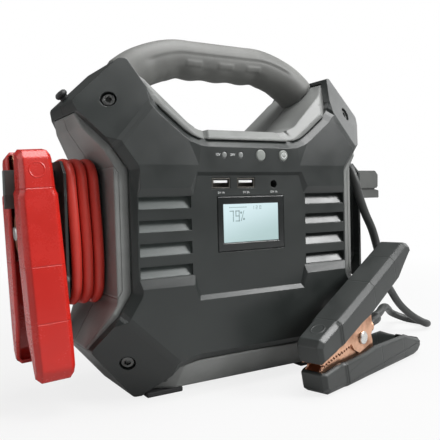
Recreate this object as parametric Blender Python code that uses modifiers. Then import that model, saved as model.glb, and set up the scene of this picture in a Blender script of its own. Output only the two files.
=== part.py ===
"""Jump starter pack: two moulded covers on a two-part frame, a handle arch, a control panel, two cable
brackets with parking tongues, two jaw clamps on cables, and the works inside. Sizes are in millimetres
in the object's frame (X right, Y back, Z up, floor at Z 0, mid plane at Y 0); MM turns them into metres."""
import math
import bmesh
import bpy
from mathutils import Matrix, Vector

for old in list(bpy.data.objects):
    bpy.data.objects.remove(old, do_unlink=True)

MM = 0.001
# ---- driving dimensions -------------------------------------------------------------------------------
GAP = 0.3             # clearance between pieces that touch
FACE = 48.0           # front face of the cover in front of the mid plane
EDGE = 5.0            # chamfer round the front face
WALL = 3.0            # side wall of the covers
SKIN = 5.2            # front wall of the covers
SEAM = 0.15           # half the joint line at the mid plane
FACET_WALL = 5.5      # wall under the sloping corner facets
RIM = 39.7            # back edge of the cover where the frame shows beside it
BAY_STEP = 0.6        # how much thicker the facet wall is where the frame lies under it
LEDGE = 3.4           # thickness of the frame's rim behind the cover's waist walls
SKIRT = 4.0           # depth of the frame's sloping wall between the feet
PANEL_DEPTH = 2.0     # sunk depth of the waist band and control panel
SLOT_DEPTH = 5.0      # depth of the louvre slots below the band
HANDLE_TOP = 243.5
CORE_R = 8.0          # handle core
GRIP_R = 14.25        # handle grip, half its height
GRIP_WIDE = 15.0      # handle grip, half its depth
SCREW_HEAD_R = 4.25
SCREW_SHANK_R = 2.35
CABLE_R = 3.35
REEL_IN, REEL_OUT, FLANGE_OUT = 96.8, 121.2, 123.0
REEL_HALF, REEL_LOW, REEL_TOP = 16.0, 69.3, 150.0
LCD_HALF, LCD_LOW, LCD_TOP = 27.1, 93.0, 130.0
BUTTON_TRAVEL = 1.0
LEVER_HALF = 12.0     # half width of a clamp lever
LEVER_WALL = 2.2
RED_OPEN = 8.5        # each red lever turned from closed, degrees
BLACK_TILT = 12.5     # the black clamp's middle line above the floor, degrees

# outlines: (x, z, corner radius), right half from the top centre clockwise to the bottom centre
COVER = [(0, 168, 0), (42, 168, 27), (71, 191, 25), (82.3, 219.2, 2), (86.8, 220, 4), (117.1, 191.8, 3),
         (114.8, 185, 2), (87.7, 148, 4), (87.7, 71, 4), (112, 35, 4), (83, 0.5, 3), (78.3, 1.2, 0),
         (73.6, 5.6, 0), (56.8, 19.9, 4), (43, 22.5, 10), (0, 22.5, 0)]
# the cover's valley and waist lines run on past the arm ends, for the chamfer round the front face
COVER_EDGE = [(0, 168, 0), (42, 168, 27), (71, 191, 25), (88.3, 234.2, 0), (135, 212.6, 0), (87.7, 148, 4),
              (87.7, 71, 4), (136.3, -1, 0), (92.4, -12, 0), (56.8, 19.9, 4), (43, 22.5, 10), (0, 22.5, 0)]
HOLLOW = [(0, 163, 0), (80, 163, 4), (92.5, 148, 4), (92.5, 66, 4), (88, 36, 4), (70, 8.5, 4), (0, 8.5, 0)]
MOUTH = [(0, 163, 0), (77, 163, 4), (84.0, 147.5, 4), (84.0, 66.5, 4), (79, 36.5, 4), (66, 8.5, 4), (0, 8.5, 0)]
BAND = [(0, 146.4, 0), (42.8, 146.4, 0), (48, 136, 0), (96, 136.2, 0), (96, 73.5, 0), (46.5, 73, 0),
        (43, 62.6, 0), (0, 62.6, 0)]
RIDGES = [((70.9, 192.5), (94.2, 165.5), 0.65), ((92.8, 54.6), (56.8, 19.9), 0.66)]
SLOTS = [(131.0, 123.3), (116.2, 108.8), (101.7, 93.6), (87.1, 79.7)]
SLOT_X = (46.8, 83.5)
SCREWS = [(97.0, 192.0, 0), (90.0, 26.0, 1)]
USB = [(-23.9, 139.0), (-4.0, 139.0)]
USB_W, USB_H = 14.5, 7.3
JACK = (19.1, 138.1)
LEDS = [(-21.8, 157.8), (-8.9, 157.8)]
BUTTONS = {"button_override": (7.3, 157.8, 3.9), "button_power": (26.5, 157.8, 3.8)}
STUD = (111.0, -8.0, 197.6)
OUTLET = Vector((98.5, -9.0, 156.6))
OUTLET_DIR = Vector((0.80, -0.58, 0.12)).normalized()
BOARD_Y = -34.0

HOME = bpy.data.collections.new("jump_starter_pack")
TOOLS = bpy.data.collections.new("cutters")
for group in (HOME, TOOLS):
    bpy.context.scene.collection.children.link(group)
TURN = {1: Matrix.Identity(4), -1: Matrix.Diagonal((-1, -1, 1, 1))}


def material(name, rgb, rough, metal=0.0):
    """A plain Principled material."""
    mat = bpy.data.materials.new(name)
    mat.use_nodes = True
    shader = mat.node_tree.nodes["Principled BSDF"]
    shader.inputs["Base Color"].default_value = (*rgb, 1.0)
    shader.inputs["Roughness"].default_value = rough
    shader.inputs["Metallic"].default_value = metal
    return mat


LOOKS = {"charcoal": ((0.07, 0.08, 0.08), 0.55, 0), "grey": ((0.2, 0.205, 0.2), 0.5, 0),
         "grip": ((0.17, 0.17, 0.165), 0.7, 0), "steel": ((0.5, 0.5, 0.5), 0.3, 1),
         "black": ((0.02, 0.02, 0.02), 0.35, 0), "rubber": ((0.02, 0.02, 0.02), 0.8, 0),
         "red": ((0.62, 0.04, 0.03), 0.4, 0), "copper": ((0.75, 0.4, 0.25), 0.35, 1),
         "pane": ((0.55, 0.75, 0.78), 0.1, 0), "board": ((0.02, 0.16, 0.07), 0.5, 0),
         "cell": ((0.05, 0.12, 0.3), 0.5, 0), "lamp": ((0.3, 0.32, 0.3), 0.25, 0),
         "button": ((0.24, 0.26, 0.24), 0.5, 0)}


def node(obj, look):
    """Move a finished object into the pack's collection with its own material."""
    for home in list(obj.users_collection):
        home.objects.unlink(obj)
    HOME.objects.link(obj)
    obj.data.materials.clear()
    obj.data.materials.append(material(obj.name + "_mat", *LOOKS[look]))
    return obj


def tool(obj):
    """Keep an object as a hidden cutter."""
    for home in list(obj.users_collection):
        home.objects.unlink(obj)
    TOOLS.objects.link(obj)
    obj.hide_render = True
    obj.display_type = "WIRE"
    return obj


def from_bmesh(name, bm, matrix=None):
    """Object from a bmesh in millimetres."""
    if matrix is not None:
        bmesh.ops.transform(bm, matrix=matrix, verts=bm.verts)
    bmesh.ops.scale(bm, vec=(MM, MM, MM), verts=bm.verts)
    bmesh.ops.recalc_face_normals(bm, faces=bm.faces)
    mesh = bpy.data.meshes.new(name)
    bm.to_mesh(mesh)
    bm.free()
    obj = bpy.data.objects.new(name, mesh)
    bpy.context.scene.collection.objects.link(obj)
    return obj


def boxes(name, spans, matrix=None):
    """One object made of separate boxes, each (x0, x1, y0, y1, z0, z1)."""
    bm = bmesh.new()
    for x0, x1, y0, y1, z0, z1 in spans:
        size = Matrix.Diagonal((x1 - x0, y1 - y0, z1 - z0, 1))
        spot = Matrix.Translation(((x0 + x1) / 2, (y0 + y1) / 2, (z0 + z1) / 2))
        bmesh.ops.create_cube(bm, size=1.0, matrix=spot @ size)
    return from_bmesh(name, bm, matrix)


def aim(point, axis):
    """Matrix that takes the Z axis to an axis through a point."""
    turn = Vector(axis).to_track_quat("Z", "Y").to_matrix().to_4x4()
    return Matrix.Translation(Vector(point)) @ turn


def rod(name, point, axis, radius, length, sides=24, matrix=None):
    """Cylinder that starts at a point and runs along an axis."""
    bm = bmesh.new()
    place = aim(point, axis) @ Matrix.Translation((0, 0, length / 2))
    bmesh.ops.create_cone(bm, cap_ends=True, segments=sides, radius1=radius, radius2=radius,
                          depth=length, matrix=place)
    return from_bmesh(name, bm, matrix)


def turned(name, profile, point, axis, steps=24, matrix=None):
    """Body of revolution from (radius, height) pairs listed from its top down, by a Screw."""
    mesh = bpy.data.meshes.new(name)
    mesh.from_pydata([(r * MM, 0, h * MM) for r, h in profile],
                     [(i, i + 1) for i in range(len(profile) - 1)], [])
    obj = bpy.data.objects.new(name, mesh)
    bpy.context.scene.collection.objects.link(obj)
    screw = obj.modifiers.new("turn", "SCREW")
    screw.steps = screw.render_steps = steps
    screw.use_merge_vertices = True
    screw.merge_threshold = 0.00001
    place = aim(point, axis)
    if matrix is not None:
        place = matrix @ place
    place.translation = place.translation * MM
    obj.matrix_world = place
    return obj


def rounded(corners):
    """Closed outline with each corner (x, z, radius) turned into a short arc."""
    out = []
    count = len(corners)
    for i, (x, z, radius) in enumerate(corners):
        here = Vector((x, z))
        before = Vector(corners[i - 1][:2]) - here
        after = Vector(corners[(i + 1) % count][:2]) - here
        half = before.angle(after) / 2
        if radius <= 0 or half > math.radians(87):
            out.append(here)
            continue
        run = min(radius / math.tan(half), 0.47 * before.length, 0.47 * after.length)
        radius = run * math.tan(half)
        u, v = before.normalized(), after.normalized()
        middle = here + (u + v).normalized() * (radius / math.sin(half))
        start, end = here + u * run - middle, here + v * run - middle
        sweep = math.atan2(start.x * end.y - start.y * end.x, start.dot(end))
        steps = max(1, math.ceil(abs(sweep) / math.radians(16)))
        for k in range(steps + 1):
            angle = math.atan2(start.y, start.x) + sweep * k / steps
            out.append(middle + radius * Vector((math.cos(angle), math.sin(angle))))
    return [(p.x, p.y) for p in out]


def mirrored(half):
    """Full outline from its right half."""
    inner = half[1:-1]
    return inner + [(-x, z, r) for x, z, r in reversed(inner)]


def inset(corners, depth):
    """Outline moved inwards by a depth (clockwise outline, mitred corners)."""
    out = []
    count = len(corners)
    for i, (x, z, radius) in enumerate(corners):
        here = Vector((x, z))
        a = (here - Vector(corners[i - 1][:2])).normalized()
        b = (Vector(corners[(i + 1) % count][:2]) - here).normalized()
        na, nb = Vector((a.y, -a.x)), Vector((b.y, -b.x))
        move = (na + nb) * (depth / (1 + na.dot(nb)))
        bulge = -depth if a.x * b.y - a.y * b.x < 0 else depth
        out.append((x + move.x, z + move.y, max(radius + bulge, 0.0) if radius > 0 else 0.0))
    return out


def at(a, b, x=None, z=None):
    """Point of the line through two outline corners at an X or a Z."""
    t = (x - a[0]) / (b[0] - a[0]) if x is not None else (z - a[1]) / (b[1] - a[1])
    return (a[0] + (b[0] - a[0]) * t, a[1] + (b[1] - a[1]) * t, 0)


def prism(name, outline, y0, y1, bevel=0.0, matrix=None):
    """Slab with an outline in XZ between two depths, from a filled 2D curve."""
    curve = bpy.data.curves.new(name, "CURVE")
    curve.dimensions = "2D"
    curve.fill_mode = "BOTH"
    curve.extrude = (y1 - y0) / 2 - bevel
    curve.bevel_depth = bevel
    curve.bevel_resolution = 0
    curve.offset = -bevel
    line = curve.splines.new("POLY")
    line.points.add(len(outline) - 1)
    for spot, (x, z) in zip(line.points, outline):
        spot.co = (x, z, 0, 1)
    line.use_cyclic_u = True
    holder = bpy.data.objects.new(name, curve)
    bpy.context.scene.collection.objects.link(holder)
    bpy.context.view_layer.update()
    mesh = bpy.data.meshes.new_from_object(holder.evaluated_get(bpy.context.evaluated_depsgraph_get()))
    bpy.data.objects.remove(holder, do_unlink=True)
    bm = bmesh.new()
    bm.from_mesh(mesh)
    bmesh.ops.remove_doubles(bm, verts=bm.verts, dist=0.002)
    bm.normal_update()
    caps = [f for f in bm.faces if abs(f.normal.z) > 0.99 or f.calc_area() < 1e-6]
    bmesh.ops.delete(bm, geom=caps, context="FACES")
    if bevel > 0:
        bmesh.ops.triangulate(bm, faces=bm.faces)
    bmesh.ops.holes_fill(bm, edges=bm.edges, sides=0)
    for vert in bm.verts:
        x, z, depth = vert.co
        vert.co = (x, (y0 + y1) / 2 - depth, z)
    return from_bmesh(name, bm, matrix)


def tube(name, points, radius, sides=2, matrix=None):
    """Closed tube through points, from a bevelled curve with filled caps."""
    curve = bpy.data.curves.new(name, "CURVE")
    curve.dimensions = "3D"
    curve.bevel_depth = radius
    curve.bevel_resolution = sides
    curve.use_fill_caps = True
    line = curve.splines.new("POLY")
    line.points.add(len(points) - 1)
    for spot, point in zip(line.points, points):
        spot.co = (*point, 1)
    holder = bpy.data.objects.new(name, curve)
    bpy.context.scene.collection.objects.link(holder)
    bpy.context.view_layer.update()
    mesh = bpy.data.meshes.new_from_object(holder.evaluated_get(bpy.context.evaluated_depsgraph_get()))
    bpy.data.objects.remove(holder, do_unlink=True)
    bm = bmesh.new()
    bm.from_mesh(mesh)
    bmesh.ops.remove_doubles(bm, verts=bm.verts, dist=0.002)
    return from_bmesh(name, bm, matrix)


def cut(target, cutter, kind="DIFFERENCE"):
    """Exact Boolean with a cutter, which is kept hidden; all of a target's cuts are taken in one go."""
    tool(cutter)
    if kind != "DIFFERENCE":
        mod = target.modifiers.new(cutter.name, "BOOLEAN")
        mod.operation = kind
        mod.solver = "EXACT"
        mod.object = cutter
        split = target.modifiers.new(cutter.name + "_split", "TRIANGULATE")
        split.keep_custom_normals = False
        return target
    label = target.name + "_cuts"
    if label not in bpy.data.collections:
        TOOLS.children.link(bpy.data.collections.new(label))
        mod = target.modifiers.new(label, "BOOLEAN")
        mod.operand_type = "COLLECTION"
        mod.collection = bpy.data.collections[label]
        mod.operation = "DIFFERENCE"
        mod.solver = "EXACT"
    TOOLS.objects.unlink(cutter)
    bpy.data.collections[label].objects.link(cutter)
    return target


def soften(obj, width, segments=1):
    """Small bevel on all sharp edges."""
    mod = obj.modifiers.new("soft", "BEVEL")
    mod.width = width * MM
    mod.segments = segments
    mod.limit_method = "ANGLE"
    mod.angle_limit = math.radians(40)
    return obj


def facet_frame(which):
    """Middle of a right-hand ridge line, outward-facing normal, and the two directions in the facet."""
    (xa, za), (xb, zb), slope = RIDGES[which]
    along = Vector((xb - xa, 0, zb - za)).normalized()
    out = Vector((-along.z, 0, along.x))
    if out.x < 0:
        out = -out
    normal = Vector((out.x * slope, -1, out.z * slope)).normalized()
    down = Vector((out.x, slope, out.z)).normalized()
    return Vector(((xa + xb) / 2, -FACE, (za + zb) / 2)), normal, along, down


def corner_tool(name, back, side):
    """Four boxes whose floors are the corner facets, moved a depth into the body."""
    bm = bmesh.new()
    for which in (0, 1):
        middle, normal, along, down = facet_frame(which)
        for mirror in (1, -1):
            flip = Matrix.Diagonal((mirror, 1, 1, 1))
            place = Matrix((along, down, normal)).transposed().to_4x4()
            place.translation = middle - normal * back
            block = Matrix.Translation((0, 32, 25)) @ Matrix.Diagonal((80, 88, 50, 1))
            bmesh.ops.create_cube(bm, size=1.0, matrix=TURN[side] @ flip @ place @ block)
    return from_bmesh(name, bm)


def facet_point(x, z, which, mirror):
    """Point of a corner facet at X, Z and the facet's outward normal."""
    middle, normal, _, _ = facet_frame(which)
    y = middle.y + ((x - middle.x) * normal.x + (z - middle.z) * normal.z) / -normal.y
    return Vector((mirror * x, y, z)), Vector((mirror * normal.x, normal.y, normal.z))


# ---- covers -------------------------------------------------------------------------------------------
def cover(name, side):
    """One cover moulding; side 1 is the front, -1 the rear (the same mould turned round)."""
    turn = TURN[side]
    full = mirrored(COVER)
    body = prism(name, rounded(full), -FACE - 2, 14, 0, turn)
    cut(body, prism(name + "_edge", rounded(inset(mirrored(COVER_EDGE), -0.4)), -FACE, 30, EDGE + 0.4, turn),
        "INTERSECT")
    cut(body, boxes(name + "_trim", [(-130, 130, -SEAM, 30, -10, 230)], turn))
    cut(body, corner_tool(name + "_facets", 0, side))
    cut(body, prism(name + "_band", rounded(mirrored(BAND)), -FACE - 10, -FACE + PANEL_DEPTH, 0, turn))
    floor = -FACE + PANEL_DEPTH + SLOT_DEPTH
    cut(body, boxes(name + "_slots", [(m * SLOT_X[0] if m > 0 else -SLOT_X[1],
                                       SLOT_X[1] if m > 0 else -SLOT_X[0], -FACE - 9, floor, low, top)
                                      for m in (1, -1) for top, low in SLOTS], turn))
    inside = prism(name + "_inside", rounded(inset(full, WALL)), -FACE + SKIN, 15, 0, turn)
    cut(inside, corner_tool(name + "_inner_facets", FACET_WALL, side))
    cut(inside, boxes(name + "_slot_backs", [(m * 66 - 25, m * 66 + 25, -60, floor + 2.6, 76, 134.6)
                                             for m in (1, -1)], turn))
    cut(body, inside)
    bay = [(82.6, 235), (82.6, 216.6), (86.5, 216.2), (86.5, 187.6), (111.4, 187.5), (111.9, 185.1), (130, 184.9),
           (130, 35.1), (79.8, 35.3), (79.8, 4.7), (77.5, 4.5), (77.5, -5)]
    bay_tool = prism(name + "_open", bay + [(-x, z) for x, z in reversed(bay)], -RIM, 20, 0, turn)
    cut(bay_tool, corner_tool(name + "_bay_facets", FACET_WALL + BAY_STEP, side))
    cut(body, bay_tool)
    for which in (0, 1):
        for mirror in (1, -1):
            x, z, _ = SCREWS[which]
            spot, normal = facet_point(x, z, which, mirror)
            tag = f"{name}_{which}{'r' if mirror > 0 else 'l'}"
            cut(body, rod(tag + "_bore", spot - normal * 4.0, normal, SCREW_HEAD_R + 1.0, 20, 24, turn))
            cut(body, rod(tag + "_hole", spot - normal * 9.0, normal, SCREW_SHANK_R + GAP, 12, 16, turn))
    cut(body, rod(name + "_stud_hole", Vector(STUD) - Vector((0.683, 0, 0.73)) * 12,
                  (0.683, 0, 0.73), 2.6, 24, 16, turn))
    weld = body.modifiers.new("weld", "WELD")      # joins corners that the cuts leave almost on one point
    weld.merge_threshold = 0.00006
    return node(body, "charcoal")


front = cover("front_cover", 1)
back_of_panel = -FACE + SKIN
cut(front, boxes("lcd_pocket", [(-LCD_HALF - GAP, LCD_HALF + GAP, -60, -44.2, LCD_LOW - GAP,
                                 LCD_TOP + GAP)]))
cut(front, boxes("lcd_through", [(-25, 25, -60, -38, 95.6, 127.5)]))
cut(front, boxes("usb_holes", [(x - USB_W / 2, x + USB_W / 2, -60, -38, z - USB_H / 2, z + USB_H / 2)
                               for x, z in USB]))
cut(front, rod("jack_hole", (JACK[0], -60, JACK[1]), (0, 1, 0), 2.75, 22))
for number, (x, z) in enumerate(LEDS):
    cut(front, rod(f"led_hole_{number}", (x, -60, z), (0, 1, 0), 1.9 + GAP, 22, 20))
for label, (x, z, radius) in BUTTONS.items():
    cut(front, rod(label + "_hole", (x, -60, z), (0, 1, 0), radius + GAP, 22, 28))
cover("rear_cover", -1)


# ---- frame --------------------------------------------------------------------------------------------
# right half of the frame's outline; inside the arms it follows the cover's inner wall
IN = inset(mirrored(COVER), WALL + GAP)
FRAME = [(0, 175.5, 0), (35, 175.5, 8), (44, 179.6, 8), (69, 203, 10), (80.5, 215.0, 2), (IN[3][0], IN[3][1], 1),
         (IN[4][0], IN[4][1], 1), at(IN[4], IN[5], z=184.8), (115.4, 184.6, 1), (112.3, 175.3, 4),
         (102.1, 160.4, 4), (96.5, 151, 4), (96.5, 65, 4), (99.6, 60, 4), (113.5, 35.8, 1),
         at(IN[8], IN[9], z=35.5), (IN[9][0], IN[9][1], 1), at(IN[9], IN[10], x=80.3), (79.5, 5.2, 0),
         (77.1, 5.0, 0), (77.0, 3.6, 0),
         (0, 3.6, 0)]


def smooth(points, spacing):
    """Points about a spacing apart on a Catmull-Rom curve through hand-chosen points."""
    pts = [Vector(p) for p in points]
    pts = [2 * pts[0] - pts[1]] + pts + [2 * pts[-1] - pts[-2]]
    fine = []
    for a, b, c, d in zip(pts, pts[1:], pts[2:], pts[3:]):
        for k in range(24):
            t = k / 24
            fine.append(0.5 * (2 * b + (c - a) * t + (2 * a - 5 * b + 4 * c - d) * t * t
                               + (3 * b - a - 3 * c + d) * t ** 3))
    fine.append(pts[-2])
    total = sum((q - p).length for p, q in zip(fine, fine[1:]))
    count = max(2, round(total / spacing))
    out, walked, wanted = [fine[0]], 0.0, total / count
    for p, q in zip(fine, fine[1:]):
        step = (q - p).length
        while walked + step >= wanted - 1e-6 and len(out) < count:
            out.append(p + (q - p) * ((wanted - walked) / step))
            wanted += total / count
        walked += step
    out.append(fine[-1])
    return out


AXIS_TOP = HANDLE_TOP - GRIP_R
ARCH = [(0, AXIS_TOP), (20, AXIS_TOP), (35, AXIS_TOP - 0.2), (45, AXIS_TOP - 2.2), (54, AXIS_TOP - 5.2),
        (63, AXIS_TOP - 9.2), (71, AXIS_TOP - 14.5), (78, AXIS_TOP - 20.5), (85, AXIS_TOP - 27),
        (92, AXIS_TOP - 34)]


def arch(extra):
    """Handle centre line from left to right, run on at the ends by an extra length."""
    right = [Vector((x, 0, z)) for x, z in ARCH]
    right[-1] += (right[-1] - right[-2]).normalized() * extra
    left = [Vector((-p.x, 0, p.z)) for p in reversed(right[1:])]
    return smooth(left + right, 7.0)


def slope_tool(name, point, along, normal, span, reach, side):
    """Box that cuts along a sloping plane through a point."""
    along, normal = Vector(along).normalized(), Vector(normal).normalized()
    down = normal.cross(along)
    place = Matrix((along, down, normal)).transposed().to_4x4()
    place.translation = Vector(point)
    block = (Matrix.Translation(((span[0] + span[1]) / 2, 0, 12))
             @ Matrix.Diagonal((span[1] - span[0], 2 * reach, 24, 1)))
    bm = bmesh.new()
    bmesh.ops.create_cube(bm, size=1.0, matrix=TURN[side] @ place @ block)
    return from_bmesh(name, bm)


def frame(name, side):
    """One half of the middle frame."""
    turn = TURN[side]
    body = prism(name, rounded(mirrored(FRAME)), -44.7, -SEAM, 0, turn)
    room = prism(name + "_hollow", rounded(mirrored(HOLLOW)), -RIM + GAP + LEDGE, 5, 0, turn)
    cut(room, prism(name + "_mouth", rounded(mirrored(MOUTH)), -60, -30, 0, turn), "UNION")
    cut(room, slope_tool(name + "_skirt_wall", (0, -44 + SKIRT, 23), (1, 0, 0), (0, -19.4, -11), (-78.5, 78.5), 40, side))
    cut(body, room)
    cut(body, prism(name + "_seat", rounded(inset(mirrored(COVER), -GAP)), -60, -RIM + GAP, 0, turn))
    cut(body, boxes(name + "_waist", [(79, 130, -60, -RIM + GAP, 26, 215), (-130, -79, -60, -RIM + GAP, 26, 215)],
                    turn))
    cut(body, boxes(name + "_ends", [(64, 78.9, -60, -RIM + GAP, 196, 230), (-78.9, -64, -60, -RIM + GAP, 196, 230)],
                    turn))
    cut(body, slope_tool(name + "_rim", (0, -45, 169.5), (1, 0, 0), (0, -6, 9), (-38, 38), 26, side))
    for mirror in (1, -1):
        cut(body, slope_tool(name + f"_rim{mirror}", (mirror * 38, -45, 168.5), (0.783 * mirror, 0, 0.621),
                             (-0.62 * 0.8 * mirror, -0.6, 0.78 * 0.8), (-4, 62), 22, side))
    cut(body, slope_tool(name + "_skirt", (0, -44, 23), (1, 0, 0), (0, -19.4, -11), (-78.5, 78.5), 40, side))
    cut(body, corner_tool(name + "_facets", FACET_WALL + BAY_STEP + GAP, side))
    for which in (0, 1):
        for mirror in (1, -1):
            x, z, _ = SCREWS[which]
            spot, normal = facet_point(x, z, which, mirror)
            cut(body, rod(f"{name}_thread_{which}{mirror}", spot - normal * 16.0, normal,
                          SCREW_SHANK_R + GAP, 14, 16, turn))
    cut(body, rod(name + "_stud_hole", Vector(STUD) - Vector((0.683, 0, 0.73)) * 12,
                  (0.683, 0, 0.73), 2.6, 24, 16, turn))
    cut(body, tube(name + "_handle_hole", arch(GAP), CORE_R + GAP, 3))
    return node(body, "grey")


frame_front = frame("frame_front", 1)
frame_rear = frame("frame_rear", -1)
cut(frame_front, rod("outlet_hole_front", OUTLET - OUTLET_DIR * 12, OUTLET_DIR, 5.8, 24))

core = node(tube("handle_core", arch(0), CORE_R, 3), "steel")
wide = Matrix.Diagonal((1, GRIP_WIDE / GRIP_R, 1, 1))
grip = tube("handle_grip", arch(4), GRIP_R, 5, wide)
cut(grip, tube("grip_bore", arch(20), CORE_R + GAP, 3))
for mirror in (1, -1):
    cut(grip, slope_tool(f"grip_end{mirror}", (mirror * (75 - GAP), 0, 209.4 + GAP), (0, 1, 0),
                         (0.728 * mirror, 0, -0.686), (-40, 40), 40, 1))
    cut(grip, boxes(f"grip_side{mirror}", [(min(82.2 * mirror, 130 * mirror), max(82.2 * mirror, 130 * mirror),
                                            -40, 40, 150, 260)]))
node(grip, "grip")

# ---- screws and studs ---------------------------------------------------------------------------------
HEAD = [(0, 2.6), (SCREW_HEAD_R - 0.4, 2.6), (SCREW_HEAD_R, 2.2), (SCREW_HEAD_R, 0), (SCREW_SHANK_R, 0),
        (SCREW_SHANK_R, -9.5), (SCREW_SHANK_R - 0.7, -10.5), (0, -10.5)]
for side, word in ((1, "front"), (-1, "rear")):
    for which, level in ((0, "upper"), (1, "lower")):
        for mirror, hand in ((1, "right"), (-1, "left")):
            x, z, _ = SCREWS[which]
            spot, normal = facet_point(x, z, which, mirror)
            seat = spot - normal * (4.0 - GAP)
            name = f"screw_{word}_{level}_{hand}"
            screw = turned(name, HEAD, seat, normal, 20, TURN[side])
            cut(screw, rod(name + "_hex", seat + normal * 0.9, normal, 2.35, 6, 6, TURN[side]))
            node(screw, "steel")
for side, name in ((1, "strap_stud_front"), (-1, "strap_stud_rear")):
    knob = [(0, 6.4), (2.9, 6.1), (4.1, 5.0), (4.4, 3.8), (4.0, 2.7), (3.0, 1.9), (3.0, GAP), (2.3, GAP),
            (2.3, -7), (0, -7)]
    node(turned(name, knob, STUD, (0.683, 0, 0.73), 24, TURN[side]), "black")

# ---- control panel ------------------------------------------------------------------------------------
GLASS = (22.6, 98.6, 125.1)
bezel = boxes("lcd_bezel", [(-LCD_HALF, LCD_HALF, -46.4, -44.5, LCD_LOW, LCD_TOP)])
cut(bezel, boxes("bezel_window", [(-GLASS[0], GLASS[0], -60, -40, GLASS[1], GLASS[2])]))
node(soften(bezel, 0.4), "black")
node(boxes("lcd_glass", [(-GLASS[0] + GAP, GLASS[0] - GAP, -46.0, -45.0, GLASS[1] + GAP, GLASS[2] - GAP)]), "pane")
node(boxes("lcd_module", [(-24.7, 24.7, -44.2, BOARD_Y - GAP, 96, 127.2)]), "black")
for number, (x, z) in enumerate(USB):
    w, h = USB_W / 2 - GAP, USB_H / 2 - GAP
    name = f"usb_socket_{number + 1}"
    shell = boxes(name, [(x - w, x + w, -45.8, BOARD_Y - GAP, z - h, z + h)])
    cut(shell, boxes(name + "_mouth", [(x - w + 0.7, x + w - 0.7, -60, BOARD_Y - 2.5, z - h + 0.7, z + h - 0.7)]))
    cut(shell, boxes(name + "_tongue", [(x - w + 1.6, x + w - 1.6, -45.2, BOARD_Y - 1.5, z + 0.3, z + 1.9)]), "UNION")
    node(shell, "steel")
jack = rod("dc_socket", (JACK[0], back_of_panel + GAP, JACK[1]), (0, 1, 0), 4.5, BOARD_Y - back_of_panel - 2 * GAP)
cut(jack, rod("dc_mouth", (JACK[0], -60, JACK[1]), (0, 1, 0), 2.6, 60 + BOARD_Y - 2))
cut(jack, rod("dc_pin", (JACK[0], back_of_panel + 1, JACK[1]), (0, 1, 0), 0.9, 7), "UNION")
node(jack, "black")
for number, (x, z) in enumerate(LEDS):
    lens = [(0, 14.0), (1.2, 13.8), (1.9, 13.1), (1.9, 8.0), (2.8, 8.0), (2.8, 7.0), (1.5, 7.0), (1.5, GAP), (0, GAP)]
    node(turned(f"led_{number + 1}", lens, (x, BOARD_Y, z), (0, -1, 0), 20), "lamp")
for label, (x, z, radius) in BUTTONS.items():
    cap = [(0, 14.9), (radius - 0.6, 14.7), (radius, 14.1), (radius, 8.0), (radius + 1.4, 8.0),
           (radius + 1.4, 6.8), (1.6, 6.8), (1.6, 4.9), (0, 4.9)]
    node(turned(label, cap, (x, BOARD_Y, z), (0, -1, 0), 28), "button")
    switch = "switch_" + label.split("_")[1]
    body = boxes(switch, [(x - 3, x + 3, BOARD_Y - 3.1, BOARD_Y - GAP, z - 3, z + 3)])
    cut(body, rod(switch + "_plunger", (x, BOARD_Y - 2, z), (0, -1, 0), 1.5, 1.7, 16), "UNION")
    node(body, "black")
node(boxes("control_board", [(-40, 40, BOARD_Y, BOARD_Y + 1.6, 86, 162)]), "board")

# ---- inside -------------------------------------------------------------------------------------------
tray = boxes("cell_tray", [(-67, 67, -30, 30, 8.8, 16)])
cut(tray, boxes("tray_pockets", [(3, 64, -26.4, 26.4, 11.6, 30), (-64, -3, -26.4, 26.4, 11.6, 30)]))
node(tray, "black")
for mirror, name in ((-1, "cell_block_left"), (1, "cell_block_right")):
    node(soften(boxes(name, [(min(3.4 * mirror, 63.6 * mirror), max(3.4 * mirror, 63.6 * mirror), -26, 26, 12, 108)]),
                2.0, 2), "cell")
node(boxes("main_board", [(-62, 62, 26.3, 27.9, 20, 104)]), "board")
relay = soften(boxes("relay", [(-31, 1, -15, 17, 108.4, 138)]), 1.0)
node(relay, "black")
node(prism("busbar_positive", [(-86, 108.4), (-86, 116), (-40, 116), (-34, 122), (-34, 136), (-10, 136), (-10, 128),
                               (-26, 128), (-26, 108.4)][::1], 17.3, 19.3), "copper")
node(prism("busbar_negative", [(20, 108.4), (20, 114), (56, 114), (80, 148), (87, 148), (87, 140), (64, 108.4)],
           -12, -10), "copper")
for mirror, name in ((-1, "foot_left"), (1, "foot_right")):
    node(soften(boxes(name, [(min(50 * mirror, 76 * mirror), max(50 * mirror, 76 * mirror), -33, 33, 0, 3.3)]), 0.6),
         "rubber")
outlet_ring = [(5.5, 3.0), (5.5, -6.0), (CABLE_R + GAP, -6.0), (CABLE_R + GAP, 3.0), (5.5, 3.0)]
node(turned("cable_outlet", outlet_ring, OUTLET, OUTLET_DIR, 24), "rubber")

# ---- cable brackets and parking tongues ---------------------------------------------------------------
TONGUE = [(123.3, 149.7, 0), (160, 149.7, 2), (163.3, 146, 2), (163, 136, 1), (160.5, 133.5, 0), (165.7, 132.3, 1),
          (165.6, 125.8, 1), (123.3, 125.8, 0)]


def across(hand):
    """Takes an outline drawn as (y, z) with thickness along X to its side of the pack."""
    return TURN[hand] @ Matrix.Rotation(math.pi / 2, 4, "Z")


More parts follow.
